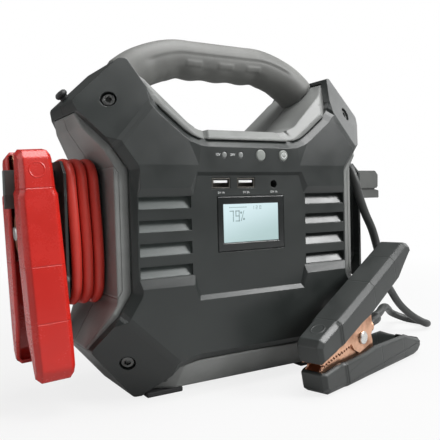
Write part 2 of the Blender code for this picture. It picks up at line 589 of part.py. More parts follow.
for hand, word in ((1, "right"), (-1, "left")):
    name = "cable_bracket_" + word
    core_line = [(-REEL_HALF, REEL_LOW, 10), (-REEL_HALF, REEL_TOP, 10), (REEL_HALF, REEL_TOP, 10),
                 (REEL_HALF, REEL_LOW, 10)]
    body = prism(name, rounded(core_line), -FLANGE_OUT + 0.5, -REEL_IN, 0, across(hand))
    rim_line = [(-23, 62, 0), (-23, 155, 0), (23, 155, 0), (23, 62, 0)]
    cut_line = [(-23, 70), (-23, 147), (-15, 155), (15, 155), (23, 147), (23, 70), (15, 62), (-15, 62)]
    cut(body, prism(name + "_flange", cut_line, -FLANGE_OUT, -REEL_OUT, 0, across(hand)), "UNION")
    cut(body, prism(name + "_pocket", rounded(inset(core_line, 3.0)), -REEL_OUT + 1, -REEL_IN + 9, 0, across(hand)))
    node(body, "charcoal")
    tongue = prism("parking_tongue_" + word, rounded(TONGUE), -3.5, 3.5, 0, TURN[hand])
    cut(tongue, boxes(f"tongue_lip_{word}", [(120, 170, 1.8, 9, 120, 134.4), (120, 170, -9, -1.8, 120, 134.4)], TURN[hand]))
    node(tongue, "grey")

# ---- clamps -------------------------------------------------------------------------------------------
# drawn closed: x from jaw tip to handle end, z opening, y along the hinge pin, pivot at 0
LEVER_OUTER = [(-53, 15, 0), (-49, 19, 2), (-40, 21, 4), (0, 29.5, 8), (59, 42.8, 10), (76, 46.6, 6), (84, 43.2, 3)]
LEVER_INNER = [(85, 36.6, 2), (71, 28.9, 4), (59, 21.7, 4), (12, 10.5, 3), (0, 9.5, 3), (-20, 6, 3), (-34, 3.2, 0),
               (-50, 2.2, 0), (-53, 4, 0)]
LEVER_CAVITY = [(-53, -30, 0)] + LEVER_OUTER + [(87, -30, 0)]
JAW_TOP = [(-53, -20, 0), (-53, 15, 0), (-49, 19, 0), (-40, 21, 0), (0, 29.5, 0), (60, 43, 0), (60, -20, 0)]


def jaw_outline(cover_gap):
    """Jaw side outline: follows the lever's ceiling, then the pivot lobe and the teeth."""
    top = [(x, z) for x, z, _ in inset(JAW_TOP, LEVER_WALL + cover_gap)[1:5]]
    ramp = (top[3][0], top[3][1])
    end = (16.0, ramp[1] + (16.0 - ramp[0]) * 13.5 / 60)
    lobe = [(16.0, 9.0), (15.0, 0.0), (8.0, -9.0), (-6.0, -9.0), (-12.0, -4.0)]
    teeth = []
    x = -14.0
    while x > -49.0:
        teeth += [(x, 0.25), (x - 1.5, 2.0)]
        x -= 3.0
    return top + [end] + lobe + teeth + [(top[0][0], 2.0)]


def clamp(prefix, place, turn_a, turn_b, plastic):
    """A jaw clamp: two levers, two jaws, pin, spring and cable lug, placed by a matrix."""
    over = Matrix.Rotation(math.pi, 4, "X")
    spots = {"a": Matrix.Rotation(math.radians(turn_a), 4, "Y"),
             "b": Matrix.Rotation(-math.radians(turn_b), 4, "Y") @ over}
    here = {}
    for part, spot in spots.items():
        world = place @ spot
        lift = Matrix.Translation(world.translation * MM) @ world.to_quaternion().to_matrix().to_4x4()
        here[part] = lift
        name = f"{prefix}_lever_{part}"
        lever = prism(name, rounded(LEVER_OUTER + LEVER_INNER), -LEVER_HALF, LEVER_HALF, 3.0)
        room = prism(name + "_room", rounded(inset(LEVER_CAVITY, LEVER_WALL)), -LEVER_HALF + LEVER_WALL,
                     LEVER_HALF - LEVER_WALL, 1.0)
        cut(lever, room)
        node(lever, plastic)
        half, low = (8.9, 7.5) if part == "a" else (7.2, 5.7)
        jaw = prism(f"{prefix}_jaw_{part}", jaw_outline(GAP), -half, half)
        core_cut = [(-60, -15), (-60, 10)] + [(x, z) for x, z in jaw_outline(GAP + 1.5)[0:5]] + [(24, 30), (24, -15)]
        core_cut[1] = (-60, core_cut[2][1])
        gut = prism(f"{prefix}_jaw_{part}_gut", core_cut, -low, low)
        hole = rod(f"{prefix}_jaw_{part}_hole", (0, -20, 0), (0, 1, 0), 3.3, 40, 20)
        for extra in (gut, hole):
            cut(jaw, extra)
        node(jaw, "copper")
        for obj in (lever, room, jaw, gut, hole):
            obj.matrix_world = lift
    head = [(0, 10.9), (4.0, 10.9), (4.5, 10.4), (4.5, 9.3), (3.0, 9.3), (3.0, -9.3), (4.5, -9.3), (4.5, -10.4),
            (4.0, -10.9), (0, -10.9)]
    node(turned(prefix + "_pin", head, (0, 0, 0), (0, 1, 0), 20, place), "steel")
    coil = []
    for k in range(4 * 12 + 1):
        angle = math.radians(90) + 2 * math.pi * k / 12
        coil.append(Vector((4.3 * math.cos(angle), 4.0 - 8.0 * k / 48, 4.3 * math.sin(angle))))
    leg_a = [Vector((42, 4.0, 35.4)), Vector((20, 4.0, 19.5))]
    coil = leg_a + [Vector((6, 4.0, 8.6))] + coil + [Vector((-5.0, -4.0, 4.7)), Vector((-11.0, -4.0, 5.6))]
    spring = tube(prefix + "_spring", coil, 0.7, 1)
    spring.matrix_world = here["a"]
    node(spring, "steel")
    lug_place = here["b"] @ over
    lug = rod(prefix + "_lug", (10, 0, -2), (1, 0, 0), 5.35, 14, 20)
    lug.matrix_world = lug_place
    node(lug, "copper")
    return place @ Matrix.Rotation(-math.radians(turn_b), 4, "Y")


down = Vector((6.1, 0, -128)).normalized()
opening = Vector((0, -1, 0))
red_place = Matrix((down, opening.cross(down), opening)).transposed().to_4x4()
red_place.translation = Vector((-137.8, 0, 110.5))
red_fixed = clamp("red", red_place, RED_OPEN, RED_OPEN, "red")

heading = Vector((0.956, 0.294, 0)).normalized()
tilt = math.radians(BLACK_TILT)
axis_x = heading * math.cos(tilt) + Vector((0, 0, math.sin(tilt)))
axis_z = -heading * math.sin(tilt) + Vector((0, 0, math.cos(tilt)))
black_place = Matrix((axis_x, axis_z.cross(axis_x), axis_z)).transposed().to_4x4()
black_place.translation = Vector((63.0, -74.1, 29.35))
black_fixed = clamp("black", black_place, 0, 0, "black")

# ---- cables -------------------------------------------------------------------------------------------
MIDDLE_Z = (REEL_LOW + REEL_TOP) / 2
RUN_Y = REEL_HALF + GAP + CABLE_R
RUN_Z = (REEL_TOP - REEL_LOW) / 2 + GAP + CABLE_R
BEND = 13.7
LOW_X, TOP_X = (101.2, 108.45, 115.7), (103.0, 110.25, 117.5)


def arc(cy, cz, start, steps=5):
    """Quarter turn of the winding path, angles falling."""
    return [(cy + BEND * math.cos(start - math.pi / 2 * k / steps),
             cz + BEND * math.sin(start - math.pi / 2 * k / steps)) for k in range(steps + 1)]


wound = [(-92.5, RUN_Y, 96.7), (-95.1, RUN_Y, 94.1), (-97.5, RUN_Y, 91.7), (-99.6, RUN_Y, 88.6),
         (-100.8, RUN_Y, 85.4), (-101.2, RUN_Y, 82.0)]
ey, ez = RUN_Y - BEND, RUN_Z - BEND
for turn_number in range(3):
    low, top = LOW_X[turn_number], TOP_X[turn_number]
    bottom = arc(ey, MIDDLE_Z - ez, 0) + arc(-ey, MIDDLE_Z - ez, -math.pi / 2)
    upper = arc(-ey, MIDDLE_Z + ez, math.pi) + arc(ey, MIDDLE_Z + ez, math.pi / 2)
    if turn_number:
        wound += [(-TOP_X[turn_number - 1], RUN_Y, 112.0), (-low, RUN_Y, 92.0)]
    wound += [(-low, y, z) for y, z in bottom]
    wound += [(-top, y, z) for y, z in upper]
wound += [(-TOP_X[2], RUN_Y, 126.3)]
winding = tube("red_winding", wound, CABLE_R, 1)
node(winding, "red")
ring_axis = Vector((-1, 0, -1)).normalized()
cut(frame_rear, rod("outlet_hole_rear", Vector((-96.8, RUN_Y, 92.4)) - ring_axis * 12, ring_axis, CABLE_R + 1.6, 24))

closest = 1e9
path = [Vector(p) for p in wound]
lengths = [0.0]
for p, q in zip(path, path[1:]):
    lengths.append(lengths[-1] + (q - p).length)
samples = []
for i, (p, q) in enumerate(zip(path, path[1:])):
    for k in range(6):
        samples.append((lengths[i] + (q - p).length * k / 6, p.lerp(q, k / 6)))
for i, (sa, a) in enumerate(samples):
    for sb, b in samples[i + 1:]:
        if sb - sa > 60:
            closest = min(closest, (a - b).length)
print("winding length mm", round(lengths[-1], 1), "least gap to itself mm", round(closest - 2 * CABLE_R, 2))


def local_to_world(place, x, y, z):
    """Point of a clamp's own drawing in the pack's frame."""
    return place @ Vector((x, y, z))


red_end = [local_to_world(red_fixed, 24.3, 0, -2), local_to_world(red_fixed, 31.0, 0, -2)]
red_route = [Vector(p) for p in ((-117.5, 19.7, 125.8), (-117.5, 20.7, 119.5), (-117.5, 23.3, 111.5), (-117.5, 26.0, 102.5),
                                 (-117.5, 27.8, 93), (-117.5, 27.8, 80), (-117.5, 25.8, 70.0), (-117.6, 20.5, 62.8), (-117.9, 12.5, 58.0),
                                 (-120.6, 5.5, 55.4), (-126.2, 1.4, 55.4), (-131.6, 0.9, 59.5), (-134.5, 0.9, 67.0))] + red_end[::-1]
lead = smooth(red_route, 6.0)
node(tube("red_lead", lead, CABLE_R, 2), "red")

black_route = [OUTLET - OUTLET_DIR * 5, OUTLET + OUTLET_DIR * 4] + [Vector(p) for p in (
    (106.8, -17.5, 156.8), (109.5, -25.0, 151.0), (111.5, -29.0, 141.0), (115.6, -30.0, 127.0), (121.5, -30.0, 113.7),
    (128.5, -30.0, 101.0), (136.0, -28.0, 86.0), (147.0, -22.0, 68.0), (160.0, -14.0, 52.5), (173.5, -8.0, 41.0),
    (190.0, -3.5, 26.0), (208.0, -3.0, 13.0), (221.0, -4.5, 6.0), (229.5, 0.5, 3.8), (233.0, 13.0, 3.6),
    (230.0, 27.0, 4.2), (218.0, 32.0, 9.5), (200.0, 22.0, 18.0), (180.0, 5.5, 24.5), (160.0, -10.0, 28.5),
    (138.0, -27.0, 29.0), (119.0, -40.5, 30.5))]
black_route += [local_to_world(black_place, 50, 6.5, -7.0), local_to_world(black_place, 38, 0.8, -3.2),
                local_to_world(black_fixed, 31.3, 0, -2), local_to_world(black_fixed, 24.3, 0, -2)]
black_path = smooth(black_route, 11.0)
node(tube("black_cable", black_path, CABLE_R, 2), "rubber")
for label, points in (("red lead", lead), ("black cable", black_path)):
    print(label, "length mm", round(sum((q - p).length for p, q in zip(points, points[1:])), 1), "points", len(points))
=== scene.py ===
# %% [markdown]
# # Jump starter pack: how it looks
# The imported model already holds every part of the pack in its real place. This notebook gives each part its
# finish and rebuilds the parts whose real surface is softer or finer than a plain solid: the cables, the
# handle grip, the front moulding, the clamp levers and the small marks on the panel. Sizes are in
# millimetres in the pack's own frame: X to the right, Y to the back, Z up.

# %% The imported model
import math

import bmesh
import bpy
import numpy as np
from mathutils import Matrix, Vector


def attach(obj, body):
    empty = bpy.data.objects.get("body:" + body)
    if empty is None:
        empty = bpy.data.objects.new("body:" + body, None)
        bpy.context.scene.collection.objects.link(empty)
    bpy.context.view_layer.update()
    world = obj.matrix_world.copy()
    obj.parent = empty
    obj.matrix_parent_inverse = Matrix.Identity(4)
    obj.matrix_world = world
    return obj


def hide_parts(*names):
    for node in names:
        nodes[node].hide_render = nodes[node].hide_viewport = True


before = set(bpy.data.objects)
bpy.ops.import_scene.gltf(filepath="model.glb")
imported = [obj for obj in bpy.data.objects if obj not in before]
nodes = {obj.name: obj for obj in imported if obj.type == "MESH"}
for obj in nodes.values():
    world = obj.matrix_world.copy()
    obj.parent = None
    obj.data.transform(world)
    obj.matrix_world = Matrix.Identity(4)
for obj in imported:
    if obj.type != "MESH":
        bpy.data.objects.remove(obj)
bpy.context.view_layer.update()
MM = 0.001

# %% [markdown]
# The camera comes first, since everything after it is judged through it. The photograph was taken from just
# above the pack's middle height, turned about thirty degrees to its left. A camera is a point and three
# directions, so the directions are worked out from yaw, pitch and roll and written into its matrix.

# %% Camera
EYE = (-226.6, -387.5, 129.4)
YAW, PITCH, ROLL = 30.50, 2.16, -1.49       # degrees: turned right, tipped down, rolled
FOCAL_PX, FRAME_PX = 594.2, 440.0


def camera_matrix(eye, yaw, pitch, roll):
    """Columns are the camera's right, up and backward directions, then its place. Pitch turns the level
    forward direction down; roll then turns right and up about it."""
    y, p, r = (math.radians(a) for a in (yaw, pitch, roll))
    level = Vector((math.cos(y), -math.sin(y), 0))
    ahead = Vector((math.sin(y), math.cos(y), 0))
    forward = ahead * math.cos(p) - Vector((0, 0, math.sin(p)))
    above = Vector((0, 0, math.cos(p))) + ahead * math.sin(p)
    right = level * math.cos(r) + above * math.sin(r)
    up = above * math.cos(r) - level * math.sin(r)
    turn = Matrix((right, up, -forward)).transposed().to_4x4()
    turn.translation = Vector(eye) * MM
    return turn


lens = bpy.data.cameras.new("studio_camera")
lens.sensor_width = 36.0
lens.lens = FOCAL_PX / FRAME_PX * lens.sensor_width
lens.clip_start, lens.clip_end = 0.01, 20.0
camera = bpy.data.objects.new("studio_camera", lens)
bpy.context.scene.collection.objects.link(camera)
camera.matrix_world = camera_matrix(EYE, YAW, PITCH, ROLL)
bpy.context.scene.camera = camera
print("lens", round(lens.lens, 2), "mm")

# %% [markdown]
# Every surface made here is a grid: rows and columns of points worked out as whole arrays. Neighbouring
# points share faces. A closed piece has its columns joined round, and its first and last rows shut by a fan.

# %% A surface from a grid of points


def surface(name, grid, joined=True, shut=True):
    """Mesh from points in rows and columns, in millimetres. Each face takes the points (r, c), (r, c + 1),
    (r + 1, c + 1) and (r + 1, c); a shut end is a fan of triangles to the row's mean point."""
    rows, cols = grid.shape[:2]
    r, c = np.meshgrid(np.arange(rows - 1), np.arange(cols if joined else cols - 1), indexing="ij")
    step = (c + 1) % cols
    faces = np.stack([r * cols + c, r * cols + step, (r + 1) * cols + step, (r + 1) * cols + c], -1)
    faces = faces.reshape(-1, 4).tolist()
    points = grid.reshape(-1, 3) * MM
    if shut:
        ring = np.arange(cols)
        for row, turn in ((0, 1), (rows - 1, -1)):
            middle = len(points)
            points = np.vstack([points, grid[row].mean(0) * MM])
            faces += np.stack([row * cols + np.roll(ring, -turn), row * cols + ring,
                               np.full(cols, middle)], -1).tolist()
    return piece(name, points, faces, closed=shut and joined)


def piece(name, points, faces, smooth=True, closed=True):
    """Object from points in metres and faces; a closed mesh gets its normals turned outwards."""
    mesh = bpy.data.meshes.new(name)
    mesh.from_pydata(points.tolist(), [], faces)
    mesh.validate()
    if closed:
        bm = bmesh.new()
        bm.from_mesh(mesh)
        bmesh.ops.recalc_face_normals(bm, faces=bm.faces)
        bm.to_mesh(mesh)
        bm.free()
    mesh.polygons.foreach_set("use_smooth", np.full(len(mesh.polygons), smooth))
    mesh.update()
    made = bpy.data.objects.new(name, mesh)
    bpy.context.scene.collection.objects.link(made)
    return made


# %% [markdown]
# The cables. A cable is a circle carried along a path. The paths below are the routes that the solids follow.
# A smooth curve runs through them, and the circle's own two directions are passed on from ring to ring, so
# the tube never twists, even where it climbs straight up.

# %% Curves and tubes


def through(points, spacing):
    """Points about a spacing apart on a smooth curve through the given points. The slope at a point is the
    mean of the slopes of its two chords, each weighted by the length of the other. Between two points runs
    the cubic (2t3 - 3t2 + 1) a + (t3 - 2t2 + t) u + (3t2 - 2t3) b + (t3 - t2) v of places a, b and slopes
    u, v."""
    p = np.asarray(points, float)
    chord = np.diff(p, axis=0)
    size = np.linalg.norm(chord, axis=1)[:, None]
    unit = chord / size
    inner = (unit[:-1] * size[1:] + unit[1:] * size[:-1]) / (size[1:] + size[:-1])
    slope = np.vstack([unit[:1], inner, unit[-1:]])
    t = np.linspace(0, 1, 24, endpoint=False)[None, :, None]
    a, b, u, v = p[:-1, None], p[1:, None], (slope[:-1] * size)[:, None], (slope[1:] * size)[:, None]
    fine = ((2 * t ** 3 - 3 * t ** 2 + 1) * a + (t ** 3 - 2 * t ** 2 + t) * u
            + (3 * t ** 2 - 2 * t ** 3) * b + (t ** 3 - t ** 2) * v)
    return spaced(np.vstack([fine.reshape(-1, 3), p[-1]]), spacing)


def spaced(line, spacing):
    """The same line with points an even distance apart along it, near the spacing."""
    walked = np.append(0, np.linalg.norm(np.diff(line, axis=0), axis=1).cumsum())
    even = np.linspace(0, walked[-1], max(3, round(walked[-1] / spacing) + 1))
    return np.stack([np.interp(even, walked, line[:, k]) for k in range(3)], -1)


def carried(line):
    """Two directions square to the path at each point. Each is the last one with its share along the new
    tangent taken away, so the pair turns no more than the path does."""
    tangent = np.gradient(line, axis=0)
    tangent /= np.linalg.norm(tangent, axis=1, keepdims=True)
    side = np.empty_like(line)
    start = np.eye(3)[np.argmin(np.abs(tangent[0]))]
    for i, t in enumerate(tangent):
        start = start - t * (start @ t)
        start = start / np.linalg.norm(start)
        side[i] = start
    return tangent, side, np.cross(tangent, side)


def tube(name, line, radius, sides=18):
    """Point on the ring at angle a is centre + radius * (side * cos a + other * sin a); the radius may change
    along the path."""
    _, side, other = carried(line)
    angle = np.linspace(0, 2 * math.pi, sides, endpoint=False)
    radius = np.broadcast_to(radius, len(line))[:, None, None]
    ring = side[:, None] * np.cos(angle)[:, None] + other[:, None] * np.sin(angle)[:, None]
    return surface(name, line[:, None] + radius * ring)


# %% [markdown]
# The red cable leaves the left side of the pack, is wound three times on the left bracket and then drops
# behind the parked clamp into its lower end. The rounded corners of each turn are quarter circles.

# %% Red cable
CABLE_R = 3.35
REEL_HALF, REEL_LOW, REEL_TOP, GAP = 16.0, 69.3, 150.0, 0.3
MIDDLE_Z = (REEL_LOW + REEL_TOP) / 2
RUN_Y, RUN_Z = REEL_HALF + GAP + CABLE_R, (REEL_TOP - REEL_LOW) / 2 + GAP + CABLE_R
BEND = 13.7
LOW_X, TOP_X = (101.2, 108.45, 115.7), (103.0, 110.25, 117.5)


def quarter(x, cy, cz, start, steps=5):
    """Quarter circle in the YZ plane about (cy, cz), with falling angle."""
    a = start - math.pi / 2 * np.arange(steps + 1) / steps
    return np.stack([np.full(steps + 1, -x), cy + BEND * np.cos(a), cz + BEND * np.sin(a)], -1)


wound = [np.array([(-92.5, RUN_Y, 96.7), (-95.1, RUN_Y, 94.1), (-97.5, RUN_Y, 91.7), (-99.6, RUN_Y, 88.6),
                   (-100.8, RUN_Y, 85.4), (-101.2, RUN_Y, 82.0)])]
ey, ez = RUN_Y - BEND, RUN_Z - BEND
for turn_number, (low, top) in enumerate(zip(LOW_X, TOP_X)):
    if turn_number:
        wound.append(np.array([(-TOP_X[turn_number - 1], RUN_Y, 112.0), (-low, RUN_Y, 92.0)]))
    wound += [quarter(low, ey, MIDDLE_Z - ez, 0), quarter(low, -ey, MIDDLE_Z - ez, -math.pi / 2),
              quarter(top, -ey, MIDDLE_Z + ez, math.pi), quarter(top, ey, MIDDLE_Z + ez, math.pi / 2)]
drop = np.array([(-117.5, 20.7, 119.5), (-117.5, 23.3, 111.5), (-117.5, 26.0, 102.5), (-117.5, 27.8, 93),
                 (-117.5, 27.8, 80), (-117.5, 25.8, 70.0), (-117.6, 20.5, 62.8), (-117.9, 12.5, 58.0),
                 (-120.6, 5.5, 55.4), (-126.2, 1.4, 55.4), (-131.6, 0.9, 59.5), (-134.5, 0.9, 67.0)])


def clamp_place(x_axis, z_axis, pivot):
    """Matrix of a clamp's own drawing: x from the jaws to the handle, z the way it opens, pivot at 0."""
    place = Matrix((x_axis, z_axis.cross(x_axis), z_axis)).transposed().to_4x4()
    place.translation = Vector(pivot)
    return place


RED_OPEN = 8.5
red_place = clamp_place(Vector((6.1, 0, -128)).normalized(), Vector((0, -1, 0)), (-137.8, 0, 110.5))
red_fixed = red_place @ Matrix.Rotation(-math.radians(RED_OPEN), 4, "Y")
heading, tilt = Vector((0.956, 0.294, 0)).normalized(), math.radians(12.5)
black_place = clamp_place(heading * math.cos(tilt) + Vector((0, 0, math.sin(tilt))),
                          Vector((0, 0, math.cos(tilt))) - heading * math.sin(tilt), (63.0, -74.1, 29.35))

red_ends = np.array([tuple(red_fixed @ Vector((x, 0, -2))) for x in (31.0, 24.3)])
red_path = through(np.vstack(wound + [drop, red_ends]), 1.6)
red_cable = tube("red_cable_run", red_path, CABLE_R)

# %% [markdown]
# The black cable comes out at the right side under the shoulder, hangs down behind the parking tongue to the
# floor, lies in one open bend and goes back into the free clamp's handle.

# %% Black cable
OUTLET = np.array([98.5, -9.0, 156.6])
OUTLET_DIR = np.array(Vector((0.80, -0.58, 0.12)).normalized())
black_run = np.array([
    (106.8, -17.5, 156.8), (109.5, -25.0, 151.0), (111.5, -29.0, 141.0), (115.6, -30.0, 127.0),
    (121.5, -30.0, 113.7), (128.5, -30.0, 101.0), (136.0, -28.0, 86.0), (147.0, -22.0, 68.0),
    (160.0, -14.0, 52.5), (173.5, -8.0, 41.0), (190.0, -3.5, 26.0), (208.0, -3.0, 13.0),
    (221.0, -4.5, 6.0), (229.5, 0.5, 3.8), (233.0, 13.0, 3.6), (230.0, 27.0, 4.2),
    (218.0, 32.0, 9.5), (200.0, 22.0, 18.0), (180.0, 5.5, 24.5), (160.0, -10.0, 28.5),
    (138.0, -27.0, 29.0), (119.0, -40.5, 30.5)])
black_in = np.array([tuple(black_place @ Vector(p)) for p in
                     ((50, 6.5, -7.0), (38, 0.8, -3.2), (31.3, 0, -2), (24.3, 0, -2))])
black_path = through(np.vstack([OUTLET - OUTLET_DIR * 5, OUTLET + OUTLET_DIR * 4, black_run, black_in]), 2.0)
black_cable = tube("black_cable_run", black_path, CABLE_R)

# %% [markdown]
# A moulded sleeve guards the black cable where it leaves the case. It is a tube on the cable's own first
# stretch whose radius shrinks to just over the cable's, with shallow rings that let it bend.

# %% Cable sleeve
sleeve_route = np.vstack([OUTLET - OUTLET_DIR * 5, OUTLET + OUTLET_DIR * 4, black_run[:3]])
sleeve_line = spaced(through(sleeve_route, 0.5), 0.5)[4:46]
share = np.linspace(0, 1, len(sleeve_line))
sleeve_r = 5.4 - 1.5 * share - 0.25 * (np.sin(share * 2 * math.pi * 6) > 0.2) * (share > 0.35)
sleeve_r[[0, -1]] = CABLE_R + 0.05
sleeve = tube("cable_sleeve", sleeve_line, sleeve_r, 24)

# %% [markdown]
# The handle grip. On the pack it is a soft over-moulding round a steel core, a little wider than tall, with a
# long shallow recess along its lower half and finger waves underneath. An ellipse carried along the arch
# gives the bulk; the recess and the waves are subtracted from its radius as smooth bumps of the angle and
# of the place along the arch.

# %% Handle grip
AXIS_TOP, GRIP_R, GRIP_WIDE = 229.25, 14.25, 15.0
ARCH = [(0, 0), (20, 0), (35, -0.2), (45, -2.2), (54, -5.2), (63, -9.2), (71, -14.5), (78, -20.5), (85, -27),
        (92, -34)]
RECESS_DEPTH, WAVE_DEPTH, WAVE_STEP = 0.8, 1.0, 22.0
PAD_RISE, PAD_PLACES = 0.5, (-24.0, 2.2, 26.5)
FACET_POINT, FACET_NORMAL, FACET_X = (74.7, 0, 209.7), (0.728, 0, -0.686), 82.1


def bump(x, middle, half, edge):
    """1 inside the span middle plus or minus half, falling to 0 over the edge with a smooth step."""
    t = np.clip((half + edge - np.abs(x - middle)) / edge, 0, 1)
    return t * t * (3 - 2 * t)


def grip_surface():
    """Ring at each arch point: radius GRIP_R across the arch and GRIP_WIDE to front and back, less the
    recess of the lower part and the finger waves, plus three pads at the front and three at the back. The
    ends are pressed flat on the frame's two facets."""
    right = np.array([(x, 0, AXIS_TOP + z) for x, z in ARCH])
    line = through(np.vstack([right[:0:-1] * (-1, 1, 1), right]), 1.2)
    tangent = np.gradient(line, axis=0)
    tangent /= np.linalg.norm(tangent, axis=1, keepdims=True)
    up = np.stack([-tangent[:, 2], 0 * tangent[:, 0], tangent[:, 0]], -1)
    a = np.linspace(0, 2 * math.pi, 96, endpoint=False)
    x = line[:, 0][:, None]
    below = -np.sin(a)[None, :]
    recess = bump(below, 0.40, 0.56, 0.06) * bump(x, 0, 54, 9)
    waves = bump(below, 1.0, 0.25, 0.35) * bump(x, 0, 44, 6)
    waves *= 0.5 - 0.5 * np.cos(x * 2 * math.pi / WAVE_STEP)
    pads = bump(below, 0.33, 0.1, 0.07) * sum(bump(x, c, 5.5, 1.8) for c in PAD_PLACES)
    r = 1 - (RECESS_DEPTH * recess + WAVE_DEPTH * waves - PAD_RISE * pads) / GRIP_R
    ring = line[:, None] + (r * np.sin(a))[..., None] * up[:, None] * GRIP_R
    ring[..., 1] += r * np.cos(a) * GRIP_WIDE
    for way in (1, -1):
        normal = np.array(FACET_NORMAL) * (way, 1, 1)
        beyond = np.maximum((ring - np.array(FACET_POINT) * (way, 1, 1)) @ normal, 0)
        ring -= beyond[..., None] * normal
    ring[..., 0] = np.clip(ring[..., 0], -FACET_X, FACET_X)
    return ring


grip = surface("handle_grip_skin", grip_surface())

# %% [markdown]
# Some parts keep their solid's shape but for a sloped ledge or a narrower end. A copy of the solid is cut
# along a few planes, and every point of it is then moved by a rule of its place. The waist band and panel of
# the covers are sunk behind sloping ledges, and the louvre floors rise towards their lower edge. The clamps
# get narrower towards their jaws, with a step just behind them.

# %% Reshaped solids


def reshaped(name, node, cuts, move):
    """Copy of a solid with its loose corners joined, cut along planes given as a point and a normal. Its
    points are moved by a rule that takes and gives rows of X, Y, Z in millimetres."""
    bm = bmesh.new()
    bm.from_mesh(nodes[node].data)
    bm.transform(nodes[node].matrix_world)
    bmesh.ops.remove_doubles(bm, verts=bm.verts, dist=1e-6)
    for point, normal in cuts:
        everything = bm.verts[:] + bm.edges[:] + bm.faces[:]
        bmesh.ops.bisect_plane(bm, geom=everything, dist=1e-6, plane_co=Vector(point) * MM,
                               plane_no=Vector(normal))
    bmesh.ops.triangulate(bm, faces=bm.faces)
    mesh = bpy.data.meshes.new(name)
    bm.to_mesh(mesh)
    bm.free()
    points = np.empty(len(mesh.vertices) * 3)
    mesh.vertices.foreach_get("co", points)
    mesh.vertices.foreach_set("co", (move(points.reshape(-1, 3) / MM) * MM).ravel())
    mesh.update()
    made = bpy.data.objects.new(name, mesh)
    bpy.context.scene.collection.objects.link(made)
    return made


# Corners of the sunk floor's edge: X and Z at the top of the ledge, then X and Z of its foot.
LEDGES = ((0, 146.4, 0, 144.0), (42.8, 146.4, 41.5, 144.0), (48, 136, 45.4, 131.4), (96, 136.2, 96, 131.4),
          (96, 73.5, 96, 79.3), (46.5, 73, 45.0, 79.3), (43, 62.6, 41.5, 65.6), (0, 62.6, 0, 65.6))
FLOOR_DEPTH, SLOT_DEPTH, SLOT_RISE, NEAR = 46.0, 41.0, 3.8, 0.02
SLOT_LOWS, SLOT_SPAN = (123.3, 108.8, 93.6, 79.7), (46, 84)


def ledged(p, side):
    """Points on the edge of the sunk floor go up to 6.5 inwards, to make each ledge a slope: each stretch of
    the edge moves by the shift that runs evenly from one end's to the other's. Points on the lower edge of a
    louvre floor come forward by SLOT_RISE, to make that floor a slope."""
    q = p.copy()
    depth = p[:, 1] * -side
    floor_point = np.abs(depth - FLOOR_DEPTH) < NEAR
    width, height = np.abs(p[:, 0]), p[:, 2]
    for (xa, za, fa, ga), (xb, zb, fb, gb) in zip(LEDGES, LEDGES[1:]):
        run = math.hypot(xb - xa, zb - za)
        t = ((width - xa) * (xb - xa) + (height - za) * (zb - za)) / run ** 2
        off = ((width - xa) * (zb - za) - (height - za) * (xb - xa)) / run
        here = floor_point & (np.abs(off) < 0.03) & (t > -0.001) & (t < 1.001)
        t = np.clip(t, 0, 1)
        q[here, 0] = (np.sign(p[:, 0]) * (width + (fa - xa) * (1 - t) + (fb - xb) * t))[here]
        q[here, 2] = (height + (ga - za) * (1 - t) + (gb - zb) * t)[here]
    slot_point = (np.abs(depth - SLOT_DEPTH) < NEAR) & (width > SLOT_SPAN[0]) & (width < SLOT_SPAN[1])
    for low in SLOT_LOWS:
        q[slot_point & (np.abs(height - low) < NEAR), 1] += -SLOT_RISE * side
    return q


front_skin = reshaped("front_cover_skin", "front_cover", [], lambda p: ledged(p, 1))
rear_skin = reshaped("rear_cover_skin", "rear_cover", [], lambda p: ledged(p, -1))

NARROW = ((-54, 0.83), (-40, 0.85), (-29.5, 0.88), (-26.5, 0.985), (10, 1.0), (60, 1.0), (86, 0.95))


def narrowed(p, place):
    """Width along the hinge pin times the share that NARROW gives for the place along the clamp."""
    local = np.array(place.inverted())
    back_again = np.array(place)
    q = p @ local[:3, :3].T + local[:3, 3]
    q[:, 1] *= np.interp(q[:, 0], *np.array(NARROW).T)
    return q @ back_again[:3, :3].T + back_again[:3, 3]


def clamp_cuts(place):
    """Planes across the clamp where its width changes."""
    along = place.to_3x3() @ Vector((1, 0, 0))
    return [(tuple(place @ Vector((x, 0, 0))), tuple(along)) for x, _ in NARROW[1:-1]]


TONGUE_END = -154.0


def shortened(p):
    """Points beyond the left tongue's end, where the parked clamp's jaws hide it, are drawn back to it."""
    q = p.copy()
    q[:, 0] = np.maximum(p[:, 0], TONGUE_END)
    return q


tongue_skin = reshaped("parking_tongue_left_skin", "parking_tongue_left", [((TONGUE_END, 0, 0), (1, 0, 0))],
                       shortened)
red_upper = red_place @ Matrix.Rotation(math.radians(RED_OPEN), 4, "Y")
clamp_skins = {}
for node, place in (("red_lever_a", red_upper), ("red_lever_b", red_fixed), ("red_jaw_a", red_upper),
                    ("red_jaw_b", red_fixed), ("black_lever_a", black_place), ("black_lever_b", black_place),
                    ("black_jaw_a", black_place), ("black_jaw_b", black_place)):
    clamp_skins[node] = reshaped(node + "_skin", node, clamp_cuts(place),
                                 lambda p, place=place: narrowed(p, place))

# %% [markdown]
# Marks. The lit window shows plain seven-bar figures, the power button has the usual power sign, and the
# panel has its voltages. Each mark is a thin closed slab that stands just proud of what it is on.

# %% Slabs for marks


def slab(outline, front, depth):
    """Closed slab from an outline in X and Z whose front face is at a depth Y; it reaches back from there."""
    ring = np.asarray(outline, float)
    n = len(ring)
    put = lambda y: np.column_stack([ring[:, 0], np.full(n, y), ring[:, 1]])
    points = np.vstack([put(front), put(front + depth)]) * MM
    k = np.arange(n)
    sides = np.stack([k, (k + 1) % n, (k + 1) % n + n, k + n], -1).tolist()
    return points, [list(range(n))[::-1], list(range(n, 2 * n))] + sides


